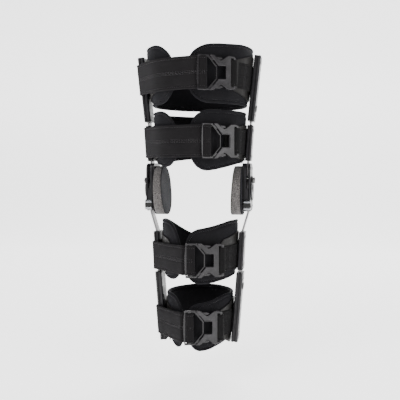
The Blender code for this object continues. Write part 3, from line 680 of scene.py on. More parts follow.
def pad_edges(key, level, degrees, run):
    """Lowest and highest point of a pad at a bearing. run is 0 at its tips and 1 past their rounding."""
    low, high = level["pad"]
    middle = level["z"]
    full = math.sqrt(max(0.0, 1 - (1 - min(run, 1.0)) ** 2))
    beside = math.cos(math.radians(degrees)) ** 2
    behind = max(0.0, math.sin(math.radians(degrees))) ** 2
    front_slope = min(1.0, max(0.0, (-30.0 - degrees) / 50.0))
    left_lobe = min(1.0, max(0.0, (degrees - 200.0) / 30.0))
    if key == "thigh_upper":
        high -= 0.0055 * front_slope
    if key == "thigh_lower":
        low += 0.0155 * beside + 0.0240 * behind
    if key == "calf_upper":
        high -= 0.0380 * behind + 0.0120 * front_slope
        low += 0.0090 * beside
    if key == "calf_lower":
        high -= 0.0120 * front_slope
        low += 0.0140 * beside - 0.0060 * left_lobe
    low = middle - PAD_TONGUE + (low - middle + PAD_TONGUE) * full
    high = middle + PAD_TONGUE + (high - middle - PAD_TONGUE) * full
    return low, high


def pad_room(degrees):
    """How far under the strap line the pad's outer face lies: deeper behind the wing plates."""
    return WING_DEPTH + GAP - (WING_DEPTH - PAD_UNDER_STRAP) * clear_of_wings(degrees)


def clear_of_wings(degrees):
    """0 where a wing plate backs the pad, 1 where only the strap lies over it."""
    folded = abs((degrees + 180.0) % 360.0 - 180.0)
    return smooth_step(min(folded, 180.0 - folded), 51.0, 64.0)


def edge_spacing(length, coarse):
    """Distances across a panel, close together near both edges where the seam is."""
    near = [0.0, 0.0007, 0.0018, 0.0032, 0.0044, 0.0052, 0.0060, 0.0072, 0.0095, 0.0135]
    near = [d for d in near if d < length / 2]
    inner = length - 2 * near[-1]
    count = max(1, round(inner / coarse))
    middle = [near[-1] + inner * i / count for i in range(1, count)]
    return near + middle + [length - d for d in reversed(near)]


def pad_profile(distance, thickness, free=0.0):
    """Thickness of a pad at a distance in from its edge: a rolled edge, a sewn groove, then a soft crown."""
    edge = min(distance / PAD_EDGE, 1.0)
    body = 0.10 + 0.90 * math.sqrt(max(0.0, 1 - (1 - edge) ** 2))
    groove = 0.42 * math.exp(-((distance - PAD_SEAM_INSET) / PAD_GROOVE) ** 2)
    crown = (0.16 + 0.24 * free) * (1 - math.exp(-max(0.0, distance - 0.006) / 0.009))
    return thickness * (0.88 * body - groove + crown)


def outline_distance(points, outline):
    """Distance from each (arc, height) point to a closed outline."""
    p = np.array(points)[:, None, :]
    a = np.array(outline)[None, :, :]
    b = np.roll(a, -1, axis=1)
    d = b - a
    t = np.clip(((p - a) * d).sum(2) / np.maximum((d * d).sum(2), 1e-12), 0, 1)
    return np.sqrt((((a + t[..., None] * d) - p) ** 2).sum(2)).min(1)


class PadPlan:
    """A cuff pad laid flat: distance along it from its right end, against height."""

    def __init__(self, key, level):
        self.key = key
        self.level = level
        self.start = level["pad_arc"][0]
        self.end = 360.0 - level["pad_arc"][1]
        self.radius = sum(layer(level, level["z"], PAD_MIDDLE)) / 2

    def along(self, degrees):
        return math.radians(degrees - self.start) * self.radius

    def bearing(self, distance):
        return self.start + math.degrees(distance / self.radius)

    def edges(self, degrees):
        right_tip, left_tip = PAD_TIPS
        run = min((degrees - self.start) / right_tip, (self.end - degrees) / left_tip)
        return pad_edges(self.key, self.level, degrees, run)

    def outline(self, bearings):
        low = [(self.along(g), self.edges(g)[0]) for g in bearings]
        high = [(self.along(g), self.edges(g)[1]) for g in bearings]
        return low + high[::-1]


def pad_faces(columns, rows):
    """Faces of a pad's outer and inner grids and of the rim that joins them."""
    def outer(c, r):
        return c * rows + r

    def inner(c, r):
        return columns * rows + c * rows + r

    faces = []
    for c in range(columns - 1):
        for r in range(rows - 1):
            faces.append((outer(c, r), outer(c + 1, r), outer(c + 1, r + 1), outer(c, r + 1)))
            faces.append((inner(c, r), inner(c, r + 1), inner(c + 1, r + 1), inner(c + 1, r)))
        for r in (0, rows - 1):
            faces.append((outer(c, r), inner(c, r), inner(c + 1, r), outer(c + 1, r)))
    for r in range(rows - 1):
        for c in (0, columns - 1):
            faces.append((outer(c, r), outer(c, r + 1), inner(c, r + 1), inner(c, r)))
    return faces


def make_pad(key, level):
    """A pad wrapped round the leg inside the uprights, crowned, with a rolled and sewn edge."""
    thickness = sizes().pad_thickness
    plan = PadPlan(key, level)
    bearings = [plan.bearing(d) for d in edge_spacing(plan.along(plan.end), PAD_MESH)]
    shares = [d / PAD_MESH_HEIGHT for d in edge_spacing(PAD_MESH_HEIGHT, PAD_MESH)]
    spots = []
    for g in bearings:
        low, high = plan.edges(g)
        spots += [(g, low + (high - low) * share) for share in shares]
    distances = outline_distance([(plan.along(g), z) for g, z in spots], plan.outline(bearings))
    outer, inner = [], []
    for (g, z), distance in zip(spots, distances):
        soft = noise.noise(Vector((g * 0.035, z * 32.0, 3.0 + level["z"]))) * PAD_SOFTNESS
        full = pad_profile(distance, thickness, clear_of_wings(g)) + min(distance / 0.01, 1.0) * soft
        middle = pad_room(g) + thickness * PAD_OUTER_SHARE
        outer.append(ring_point(level, z, middle - full * PAD_OUTER_SHARE, g))
        inner.append(ring_point(level, z, middle + full * PAD_INNER_SHARE, g))
    faces = pad_faces(len(bearings), len(shares))
    pad = face_out(add_piece(f"{key}_cuff_pad", outer + inner, faces, "pad", 85.0))
    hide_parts(f"{key}_pad")
    for piece in (pad, pad_seam(plan, thickness)):
        move_pad(piece, level)


def move_pad(piece, level):
    """A pad rides its frame, and one between two telescoping channels stays unattached."""
    if level["left"] == level["right"]:
        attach(piece, level["left"])
        return
    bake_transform(piece)


def inset_line(outline, inset):
    """A closed outline moved inwards, without its doubled points."""
    closed = [Vector(p) for p in outline]
    moved = []
    for i, p in enumerate(closed):
        tangent = closed[(i + 1) % len(closed)] - closed[i - 1]
        if tangent.length < 1e-7:
            continue
        tangent.normalize()
        moved.append(p + Vector((-tangent.y, tangent.x)) * inset)
    return moved


def pad_seam(plan, thickness):
    """The run of stitches that follows the pad's edge, on both faces."""
    bearings = [plan.start + (plan.end - plan.start) * i / PAD_SEAM_STEPS for i in range(PAD_SEAM_STEPS + 1)]
    line = inset_line(plan.outline(bearings), PAD_SEAM_INSET)
    line = resample(line + [line[0]], sizes().stitch_pitch)
    seam = Gathered()
    for p, q in zip(line, line[1:]):
        q = p.lerp(q, STITCH_LENGTH)
        for side, share in ((1.0, PAD_OUTER_SHARE), (-1.0, PAD_INNER_SHARE)):
            rise = pad_profile(PAD_SEAM_INSET, thickness) * share + 0.0001
            ends = []
            for spot in (p, q):
                g = plan.bearing(spot.x)
                middle = pad_room(g) + thickness * PAD_OUTER_SHARE
                ends.append(ring_point(plan.level, spot.y, middle - side * rise, g))
            seam.stitch(*ends, ring_normal(plan.level, p.y, plan.bearing(p.x)) * side)
    return seam.object(f"{plan.key}_pad_stitching", "thread")


def resample(points, pitch):
    """The same line with points an equal length apart, about one pitch."""
    lengths = [0.0]
    for a, b in zip(points, points[1:]):
        lengths.append(lengths[-1] + (b - a).length)
    count = max(2, round(lengths[-1] / pitch))
    found, i = [], 0
    for n in range(count + 1):
        target = lengths[-1] * n / count
        while i < len(points) - 2 and lengths[i + 1] < target:
            i += 1
        span = max(lengths[i + 1] - lengths[i], 1e-9)
        found.append(points[i].lerp(points[i + 1], min(1.0, (target - lengths[i]) / span)))
    return found


# ---------------------------------------------------------------- straps

TURN_EFFORT = 0.0300  # length that a turn of one radian counts for when points are spread
STRAP_COLUMNS = 170  # of the taut stretch
STRAP_LEAVES = -0.0370  # along the buckle, where the strap leaves the bowed bar towards the left
STRAP_CLEARANCE = 0.0002
STRAP_END_LENGTH = 0.118  # the stretch at the male buckle half's end of the strap
STRAP_TAIL = (0.0160, 0.0090, 0.0020)  # how far the folded tail's points reach under the strap
STRAP_SWAY = 0.0005
STRAP_LUMPS = 0.00022
ROW_APART = 0.0024  # from the strap's middle to each middle row of stitches
ZIGZAG = 0.0015
HEM_RISE = 0.0003


def hull(points):
    """The convex outline of plane points, anticlockwise."""
    ordered = sorted(set((round(x, 7), round(y, 7)) for x, y in points))

    def half(sequence):
        chain = []
        for p in sequence:
            while len(chain) > 1:
                (ax, ay), (bx, by) = chain[-2], chain[-1]
                if (bx - ax) * (p[1] - ay) - (by - ay) * (p[0] - ax) > 0:
                    break
                chain.pop()
            chain.append(p)
        return chain[:-1]

    return half(ordered) + half(reversed(ordered))


def spread(points, count):
    """count points along a line of points, closer together where it turns sharply."""
    effort = [0.0]
    for i in range(1, len(points)):
        step = points[i] - points[i - 1]
        ahead = points[min(i + 1, len(points) - 1)] - points[i]
        turn = step.angle(ahead, 0.0) if ahead.length > 0 else 0.0
        effort.append(effort[-1] + step.length + TURN_EFFORT * turn)
    path, i = [], 0
    for n in range(count):
        target = effort[-1] * n / (count - 1)
        while i < len(points) - 2 and effort[i + 1] < target:
            i += 1
        t = min(1.0, (target - effort[i]) / (effort[i + 1] - effort[i]))
        path.append(points[i].lerp(points[i + 1], t))
    return path


def strap_plan(level, z, count):
    """Middle line of the strap at a height: from the buckle round the left and back to the right channel."""
    thickness = sizes().strap_thickness
    out = thickness / 2 + 2 * GAP
    points = []
    for i in range(0, 360, 2):
        p = ring_point(level, z, -out, i)
        points.append((p.x, p.y))
    half = channel_width(level) / 2
    inner = -channel_inner(level, z)
    outer = inner - level["depth"] / math.cos(tilt_at(*level["span"]))
    corners = [(outer, half - CHANNEL_CHAMFER), (outer + CHANNEL_CHAMFER, half), (inner, half)]
    for x, y in corners + [(x, -y) for x, y in corners]:
        points += circle(out, 36, (x, y))
    under = BUCKLE_PLATE / 2 + STRAP_CLEARANCE + thickness / 2
    begin = buckle_frame(level) @ Vector((STRAP_LEAVES, under, 0.0))
    points.append((begin.x, begin.y))
    loop = hull(points)
    first = min(range(len(loop)), key=lambda i: math.dist(loop[i], (begin.x, begin.y)))
    ordered = loop[first:] + loop[:first]
    ordered = [ordered[0]] + ordered[:0:-1]
    edge = half + 2 * GAP
    kept = []
    for p in ordered:
        if p[0] > 0 and 0 < p[1] < edge:
            kept.append(Vector((p[0], edge)))
            break
        kept.append(Vector(p))
    return spread(kept, count)


def smooth_line(points, steps):
    """A line through the same points with rounded turns."""
    smooth = []
    last = len(points) - 1
    for i in range(last):
        before, a, b, after = points[max(i - 1, 0)], points[i], points[i + 1], points[min(i + 2, last)]
        for k in range(steps):
            u = k / steps
            bend = (2 * before - 5 * a + 4 * b - after) * u ** 2 + (3 * a - before - 3 * b + after) * u ** 3
            smooth.append(0.5 * (2 * a + (b - before) * u + bend))
    smooth.append(points[-1])
    return smooth


def placed(place, spots):
    """Points of the plane from (along, inwards) spots of a buckle's frame."""
    found = [place @ Vector((s, n, 0.0)) for s, n in spots]
    return [Vector((p.x, p.y)) for p in found]


def strap_fold(level, plan):
    """Middle line of the strap's folded end, from the tail under the strap up over the buckle's crossbar."""
    t = sizes().strap_thickness
    under = BUCKLE_PLATE / 2 + STRAP_CLEARANCE + t / 2
    heading = (plan[1] - plan[0]).normalized()
    inwards = Vector((-plan[0].x, level["back"] - plan[0].y))
    inwards = (inwards - heading * inwards.dot(heading)).normalized()
    tail = [plan[0] + heading * reach + inwards * (t + GAP) for reach in STRAP_TAIL]
    round_bar = (
        (-0.0310, under + t + 0.0002), (-0.0240, under + t), (-0.0190, under + t * 0.7),
        (-0.0172, under * 0.4), (-0.0174, -under * 0.55), (-0.0194, -under - 0.0002),
        (-0.0228, -under - 0.0004),
        (-0.0256, -under - 0.0001), (-0.0276, -under * 0.5), (-0.0288, under * 0.35), (-0.0306, under * 0.9),
        (-0.0338, under),
    )
    return smooth_line(tail + placed(buckle_frame(level), round_bar), 3)


def strap_section(width, thickness, hem):
    """Outer and inner line of a strap's section as (across, out): rolled hems and a sewn middle line."""
    half = thickness / 2
    middle = width / 2
    spots = [0.0, 0.0004, 0.0012, 0.0022, hem - 0.0010, hem - 0.0003, hem, hem + 0.0004, hem + 0.0012]
    spots += [0.011, 0.018]
    spots += [middle - d for d in (0.0042, 0.0029, ROW_APART, 0.0018, 0.0)]
    outer = []
    for s in spots:
        lift = half
        if s < hem:
            lift = half * (0.25 + 0.75 * min(1.0, math.sqrt(s / 0.0012))) + HEM_RISE * min(1.0, s / 0.002)
        dip = 0.00045 * math.exp(-((s - hem) / 0.00055) ** 2)
        dip += 0.00032 * math.exp(-((s - middle + ROW_APART) / 0.0006) ** 2)
        outer.append((s, lift - dip))
    outer += [(width - s, n) for s, n in reversed(outer[:-1])]
    inner = [(s, -min(half, max(0.25 * half, n))) for s, n in reversed(outer[::2])]
    return outer, inner


class Band:
    """A strap's surface: columns of low and high edge points with normals, placed by length and width."""

    def __init__(self, low, high, z_low, z_high, facing=1.0):
        self.columns = []
        self.lengths = [0.0]
        for i, (a, b) in enumerate(zip(low, high)):
            columns = (Vector((a.x, a.y, z_low)), Vector((b.x, b.y, z_high)))
            self.columns.append(columns + tuple(self.outwards(line, i) * facing for line in (low, high)))
            if i:
                step = ((a - low[i - 1]).length + (b - high[i - 1]).length) / 2
                self.lengths.append(self.lengths[-1] + step)

    @staticmethod
    def outwards(line, i):
        """Unit normal of a plane line at a point, on the left of its run."""
        run = line[min(i + 1, len(line) - 1)] - line[max(i - 1, 0)]
        return Vector((-run.y, run.x, 0.0)).normalized()

    def spot(self, column, share, out):
        low, high, low_out, high_out = self.columns[column]
        return low.lerp(high, share) + low_out.lerp(high_out, share).normalized() * out

    def column(self, length):
        return max(k for k in range(len(self.lengths) - 1) if self.lengths[k] <= length or k == 0)

    def at_length(self, length, share, out):
        i = self.column(length)
        t = min(1.0, (length - self.lengths[i]) / max(self.lengths[i + 1] - self.lengths[i], 1e-9))
        return self.spot(i, share, out).lerp(self.spot(i + 1, share, out), t)

    def normal(self, length, share):
        _, _, low_out, high_out = self.columns[self.column(length)]
        return low_out.lerp(high_out, share).normalized()


def band_rings(band, width, section, first, last, waver):
    """Rings of a strap's solid from one column to another, wavering a little, as worn fabric does."""
    outer, inner = section
    rings = []
    for c in range(first, last + 1):
        length = band.lengths[c]
        drift = noise.noise(Vector((length * 14.0, waver, 0.0))) * STRAP_SWAY
        ring = []
        for s, n in outer + inner:
            lump = noise.noise(Vector((length * 60.0, s * 90.0, waver))) * STRAP_LUMPS
            p = band.spot(c, s / width, n + (lump if n > 0 else 0.0))
            p.z += drift
            ring.append(p)
        rings.append(ring)
    return rings


def make_strap(key, level):
    """The long strap, in an end at the male buckle half and the long stretch round the leg."""
    width, thickness = level["strap"], sizes().strap_thickness
    heights = (level["z"] - width / 2, level["z"] + width / 2)
    lines = []
    for z in heights:
        plan = strap_plan(level, z, STRAP_COLUMNS)
        lines.append(strap_fold(level, plan) + plan)
    band = Band(*lines, *heights)
    section = strap_section(width, thickness, sizes().hem)
    split = next(i for i, d in enumerate(band.lengths) if d > STRAP_END_LENGTH)
    last = len(band.lengths) - 1
    pieces = []
    for name, a, b in ((f"{key}_strap_end", 0, split), (f"{key}_long_strap", split, last)):
        verts, faces = loft(band_rings(band, width, section, a, b, level["z"] * 40))
        pieces.append(face_out(add_piece(name, verts, faces, "loop", 60.0)))
        pieces.append(strap_stitching(f"{name}_stitching", band, width, (band.lengths[a], band.lengths[b])))
    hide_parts(f"{key}_strap")
    move_strap(level, band, pieces, split)


def strap_stitching(name, band, width, run):
    """Rows of stitches along both hems and the middle, and a zigzag between the middle rows."""
    start, end = run
    hem, pitch = sizes().hem, sizes().stitch_pitch
    out = sizes().strap_thickness / 2
    middle = width / 2
    rows = Gathered()
    for i in range(int((end - start) / pitch)):
        a, b = (start + (i + share) * pitch for share in (0.15, 0.80))
        for s in (hem, width - hem, middle - ROW_APART, middle + ROW_APART):
            ends = [band.at_length(length, s / width, out - 0.0003) for length in (a, b)]
            rows.stitch(*ends, band.normal(a, s / width))
        turn = ZIGZAG if i % 2 else -ZIGZAG
        rows.stitch(band.at_length(start + i * pitch, (middle + turn) / width, out - 0.0001),
                    band.at_length(start + (i + 1) * pitch, (middle - turn) / width, out - 0.0001),
                    band.normal(a, 0.5))
    return rows.object(name, "thread")


def move_strap(level, band, pieces, split):
    """The end and its stitching stay unattached; the rest rides its cuff, or stays unattached where the cuff
    telescopes.
    """
    far = band.spot(split, 0.5, 0.0)
    near = buckle_frame(level) @ Vector((STRAP_LEAVES, 0.0, 0.0))
    for piece in pieces[:2]:
        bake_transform(piece)
    for piece in pieces[2:]:
        if level["left"] == level["right"]:
            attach(piece, level["left"])
            continue
        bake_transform(piece)


# ---------------------------------------------------------------- short webbings

WEBBING_BEND_POINTS = 26  # from the buckle round to the right channel
WEBBING_COLUMNS = 64
WEBBING_ENDS_AT = 9.0  # bearing behind the right channel
WEBBING_HEM = 0.0030
TACK_PLACES = (0.52, 0.55, 0.80, 0.83)  # rows of tacks across, as shares of the length
TACK_STEP = 0.06
TACK_LENGTH = 0.045


def webbing_line(level, z):
    """Middle line of the webbing at a height: round the buckle's end bar, then to the right channel."""
    t = sizes().webbing_thickness
    under = BUCKLE_THICKNESS / 2 + GAP + t / 2
    fold = (
        (0.0262, under + 0.0030), (0.0262, under + 0.0006), (0.0262, 0.0012), (0.0268, -under * 0.75),
        (0.0290, -under - 0.0001), (0.0320, -under), (0.0345, -under * 0.75), (0.0352, -0.0010),
        (0.0350, under * 0.55),
    )
    points = placed(buckle_frame(level), fold)
    tail = points[-1]
    first = math.degrees(math.atan2(tail.y - level["back"], tail.x)) + 6.0
    for i in range(WEBBING_BEND_POINTS):
        g = first + (WEBBING_ENDS_AT - first) * i / (WEBBING_BEND_POINTS - 1)
        p = ring_point(level, z, GAP + t / 2, g)
        points.append(Vector((p.x, p.y)))
    return spread(points, WEBBING_COLUMNS)


def make_webbing(key, level):
    """The webbing that holds the female buckle half, and its rows of tacks."""
    width, thickness = sizes().webbing_width, sizes().webbing_thickness
    heights = (level["z"] - width / 2, level["z"] + width / 2)
    band = Band(*(webbing_line(level, z) for z in heights), *heights, facing=-1.0)
    section = strap_section(width, thickness, WEBBING_HEM)
    verts, faces = loft(band_rings(band, width, section, 0, WEBBING_COLUMNS - 1, level["z"] * 17))
    webbing = face_out(add_piece(f"{key}_short_webbing", verts, faces, "webbing", 60.0))
    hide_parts(f"{key}_webbing")
    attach(webbing, level["right"])
    tacks = Gathered()
    for place in TACK_PLACES:
        length = band.lengths[-1] * place
        share = TACK_STEP
        while share < 1.0 - TACK_STEP:
            ends = [band.at_length(length, across, thickness / 2) for across in (share, share + TACK_LENGTH)]
            tacks.stitch(*ends, band.normal(length, share))
            share += TACK_STEP
    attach(tacks.object(f"{key}_webbing_stitching", "thread"), level["right"])


# ---------------------------------------------------------------- condyle pads

CONDYLE_LEAN = 4.0  # degrees that the knee side leans in towards the calf
CONDYLE_SQUARENESS = 0.86
CONDYLE_FACING = 0.0012  # black fabric on the knee side
CONDYLE_BACKING = 0.0009  # hook-side fabric at the pad's top, thicker towards its bottom
CONDYLE_WEDGE = 0.25  # share of the lean that the backing takes up
CONDYLE_POINTS = 112
CONDYLE_LUMPS = 0.0003
# Rings of a layer: share of its depth, share of its outline, and how far its rounded edge lifts.
CONDYLE_RINGS = (
    (0.0, 0.60, 0.0), (0.0, 0.93, 0.0), (0.0, 0.975, 0.12), (0.0, 0.992, 0.40), (0.0, 1.0, 0.9),
    (0.5, 1.0, 0.0),
    (1.0, 1.0, -0.9), (1.0, 0.992, -0.40), (1.0, 0.975, -0.12), (1.0, 0.93, 0.0), (1.0, 0.60, 0.0),
)


def squared(value):
    """A coordinate of the unit circle pushed towards the corners of its square."""
    return math.copysign(abs(value) ** CONDYLE_SQUARENESS, value)


def condyle_layer(side, name, finish_name, spans, rise):
    """One layer of a condyle pad as a slab: spans gives its near and far depth at a height."""
    sign = SIDES[side]
    low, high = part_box(f"{side}_condyle_pad")
    centre = (low + high) / 2
    half_y, half_z = (high.y - low.y) / 2, (high.z - low.z) / 2
    hook_x = max(abs(low.x), abs(high.x))
    outline = [(squared(x) * half_y, squared(y) * half_z) for x, y in circle(1.0, CONDYLE_POINTS)]
    rings = []
    for across, grow, lift in CONDYLE_RINGS:
        ring = []
        for y, z in ((y * grow, z * grow) for y, z in outline):
            near, far = spans(z)
            x = near + (far - near) * across + lift * rise
            if across:
                x += noise.noise(Vector((y * 60.0, z * 60.0, sign * 3.0 + across))) * CONDYLE_LUMPS
            ring.append(Vector((sign * (hook_x - x), centre.y + y, centre.z + z)))
        rings.append(ring)
    verts, faces = loft(rings)
    piece = face_out(add_piece(f"{side}_{name}", verts, faces, finish_name, 60.0))
    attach(piece, "thigh_frame")
    return piece


def make_condyle_pad(side):
    """Gray foam between a black hook backing and a black facing, leaning in towards the calf."""
    low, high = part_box(f"{side}_condyle_pad")
    half = (high.z - low.z) / 2
    depth = abs(high.x - low.x)
    lean = math.tan(math.radians(CONDYLE_LEAN))

    def knee_side(z):
        return depth - half * lean - z * lean

    def backing(z):
        return CONDYLE_BACKING + (half - z) * lean * CONDYLE_WEDGE

    def foam_spans(z):
        return backing(z), knee_side(z) - CONDYLE_FACING

    def facing_spans(z):
        return knee_side(z) - CONDYLE_FACING, knee_side(z)

    foam = condyle_layer(side, "condyle_cushion", "foam", foam_spans, 0.0006)
    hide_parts(f"{side}_condyle_pad")
    condyle_layer(side, "condyle_facing", "pad", facing_spans, 0.0004)
    condyle_layer(side, "condyle_backing", "pad", lambda z: (0.0, backing(z)), 0.0004)


# ---------------------------------------------------------------- hard trim

# The finish of each carried-over node, by the end of its name.
FRAME_FINISHES = {
    "hinge_cover": "shell", "hinge_dial": "shell", "hinge_housing": "shell", "pivot_pin": "dark_metal",
    "lock_slide": "latch", "_stop": "stop", "_button": "stop", "_bar": "metal", "_channel": "shell",
    "_bracket": "shell", "_wing": "wing", "buckle_male": "buckle", "buckle_female": "buckle",
}

RIVET_RADIUS = 0.0026
RIVET_RISE = 0.0007
RIVET_Y = 0.0085
SCREW_RADIUS = 0.0030
SCREW_RISE = 0.0008
SCREW_Y = 0.0150
SCREW_HEIGHTS = (0.036, -0.032)
TICKS = 25
TICK_ANGLE = 15.0
TICK_OUTER = 0.0216
TICK_INNER = (0.0188, 0.0200)  # of every other tick, long and short
GRIP_RIDGES = 4
GRIP_PROUD = 0.0003  # beyond the lock slide's sides
GRIP_FRONT = (0.0004, 0.0013, 0.0042)  # crest, valley and back, from the slide's front
GRIP_INSET = (0.0056, 0.0046)  # from the slide's top and bottom
LIP_RADIUS = 0.0006
LIP_HALF = 0.0122  # half height of the window's lip
LIP_SPAN = (0.0036, 0.0174)  # along the buckle
LIP_CORNER = 0.0026


def finish_frame():
    """Gives every carried-over node that stays in view its finish."""
    for name, node in NODES.items():
        kind = next((kind for tail, kind in FRAME_FINISHES.items() if name.endswith(tail)), None)
        if kind:
            for slot in node.material_slots:
                slot.material = finish(kind)


def make_upright_trim(side):
    """Rivet heads near both ends of each channel and bracket, on its outer face."""
    sign = SIDES[side]
    uprights = (
        ("thigh_channel", THIGH_CHANNEL, CHANNEL_THICKNESS, f"{side}_thigh_slider", 0.10),
        ("thigh_bracket", THIGH_BRACKET, BRACKET_THICKNESS, "thigh_frame", 0.14),
        ("calf_bracket", CALF_BRACKET, BRACKET_THICKNESS, "calf_frame", 0.14),
        ("calf_channel", CALF_CHANNEL, CHANNEL_THICKNESS, f"{side}_calf_slider", 0.10),
    )
    for name, span, thickness, body, inset in uprights:
        place = upright_frame(side, span)
        normal = (place.to_3x3() @ Vector((sign, 0.0, 0.0))).normalized()
        length = (span[1] - span[0]) / math.cos(tilt_at(*span))
        rivets = Gathered()
        for share in (inset, 1.0 - inset):
            for y in (-RIVET_Y, RIVET_Y):
                centre = place @ Vector((sign * thickness / 2, y, length * share))
                rivets.rivet(centre, normal, RIVET_RADIUS, RIVET_RISE)
        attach(rivets.object(f"{side}_{name}_rivets", "dark_metal"), body)


def make_dial_ticks(side):
    """Raised ticks round the stop dial, long and short by turns."""
    out = Vector((SIDES[side], 0.0, 0.0))
    ticks = Gathered()
    for i in range(TICKS):
        angle = math.radians(TICK_ANGLE * i - 180.0)
        radial = Vector((0.0, math.sin(angle), math.cos(angle)))
        ends = [out * DIAL_X + radial * radius for radius in (TICK_INNER[i % 2], TICK_OUTER)]
        ticks.stitch(*ends, out, 0.0007, 0.00035)
    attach(ticks.object(f"{side}_dial_ticks", "stop"), "thigh_frame")


def make_cover_screws(side):
    """Domed screw heads at the hinge cover's corners."""
    sign = SIDES[side]
    screws = Gathered()
    for z in SCREW_HEIGHTS:
        for y in (-SCREW_Y, SCREW_Y):
            screws.rivet(Vector((sign * COVER_X, y, z)), Vector((sign, 0.0, 0.0)), SCREW_RADIUS, SCREW_RISE)
    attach(screws.object(f"{side}_cover_screws", "dark_metal"), "thigh_frame")


def make_lock_grip(side):
    """The lock slide's ribbed thumb grip."""
    low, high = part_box(f"{side}_lock_slide")
    crest_y, valley_y, back = (low.y + depth for depth in GRIP_FRONT)
    top, bottom = high.z - GRIP_INSET[0], low.z + GRIP_INSET[1]
    half = (top - bottom) / GRIP_RIDGES / 2
    outline = [(back, top)]
    for i in range(GRIP_RIDGES):
        z = top - half * (2 * i + 1)
        outline += [(valley_y, z + half * 0.96), (crest_y, z + half * 0.45)]
        outline += [(crest_y, z - half * 0.45), (valley_y, z - half * 0.96)]
    outline.append((back, bottom))
    grip = Gathered()
    sides = (low.x - GRIP_PROUD, high.x + GRIP_PROUD)
    grip.add(*loft([[Vector((x, y, z)) for y, z in outline] for x in sides]))
    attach(grip.object(f"{side}_lock_grip", "grip", 30.0), f"{side}_lock")


def bead_ring(place, line, i, radius):
    """Section of a low bead on a buckle's outer face, at one point of its line."""
    ahead, behind = line[min(i + 1, len(line) - 1)], line[max(i - 1, 0)]
    run = (Vector(ahead) - Vector(behind)).normalized()
    face = -BUCKLE_THICKNESS / 2
    ring = []
    for across, up in circle(radius, 6):
        x, z = line[i][0] + run.y * across, line[i][1] - run.x * across
        ring.append(place @ Vector((x, face - up * 0.55, z)))
    return ring


def make_buckle_trim(key, level):
    """A raised lip round the female half's window, open towards the male half."""
    near, far = LIP_SPAN
    inner = LIP_HALF - LIP_CORNER
    line = [(near, -LIP_HALF)]
    for z, begin in ((-inner, 270), (inner, 0)):
        for k in range(6):
            t = math.radians(begin + 18 * k)
            line.append((far - LIP_CORNER + LIP_CORNER * math.cos(t), z + LIP_CORNER * math.sin(t)))
    line.append((near, LIP_HALF))
    place = buckle_frame(level)
    lip = Gathered()
    lip.add(*loft([bead_ring(place, line, i, LIP_RADIUS) for i in range(len(line))]))
    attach(lip.object(f"{key}_buckle_window_lip", "buckle"), level["right"])


# ---------------------------------------------------------------- studio

CAMERA_PLACE = (0.1900, -1.0613, 0.0353)
CAMERA_TURN = 6.66
CAMERA_LENS = 53.2
CAMERA_SHIFT = (-0.0900, -0.0785)

CALF_TRAVEL = 0.055  # the lower cuff slides this far down, so the floor lies below it
FLOOR_GLOW = 1.75
FLOOR_HALF_WIDTH = 4.0
FLOOR_FRONT = -3.0
WALL_BEND = 0.8  # radius of the sweep from the floor up into the wall
WALL_Y = 2.4
WALL_HEIGHT = 3.4
SKY_STRENGTH = 0.42

# Each light's place, target, size and power.
LIGHTS = {
    "key_light": ((-1.1, -1.7, 1.5), (0.0, 0.0, 0.0), (1.4, 1.4), 48.0),
    "fill_light": ((1.7, -1.2, 0.7), (0.0, 0.0, 0.0), (1.2, 1.6), 24.0),
    "rim_light": ((0.3, 1.5, 1.6), (0.0, 0.0, 0.05), (1.6, 0.8), 26.0),
}


def area_light(name, location, target, size, power):
    light = bpy.data.lights.new(name, "AREA")
    light.shape = "RECTANGLE"
    light.size, light.size_y = size
    light.energy = power
    obj = bpy.data.objects.new(name, light)
    bpy.context.scene.collection.objects.link(obj)
    obj.location = location
    obj.rotation_mode = "QUATERNION"
    obj.rotation_quaternion = (Vector(target) - Vector(location)).to_track_quat("-Z", "Y")


def make_camera():
    data = bpy.data.cameras.new("camera")
    data.lens = CAMERA_LENS
    data.sensor_width = 36.0
    data.shift_x, data.shift_y = CAMERA_SHIFT
    camera = bpy.data.objects.new("camera", data)
    bpy.context.scene.collection.objects.link(camera)
    turn = math.radians(CAMERA_TURN)
    camera.location = CAMERA_PLACE
    camera.rotation_mode = "QUATERNION"
    camera.rotation_quaternion = Vector((-math.sin(turn), math.cos(turn), 0.0)).to_track_quat("-Z", "Y")
    bpy.context.scene.camera = camera


def floor_paint():
    base = tuple(colours().floor)
    made = Shader("studio_floor_paint", base, 0.9)
    made.colour(made.mix(made.noise(2.0), tint(base, 0.985), base))
    made.set("Emission Color", (1.0, 1.0, 1.0, 1.0))
    made.set("Emission Strength", FLOOR_GLOW)
    return made.material


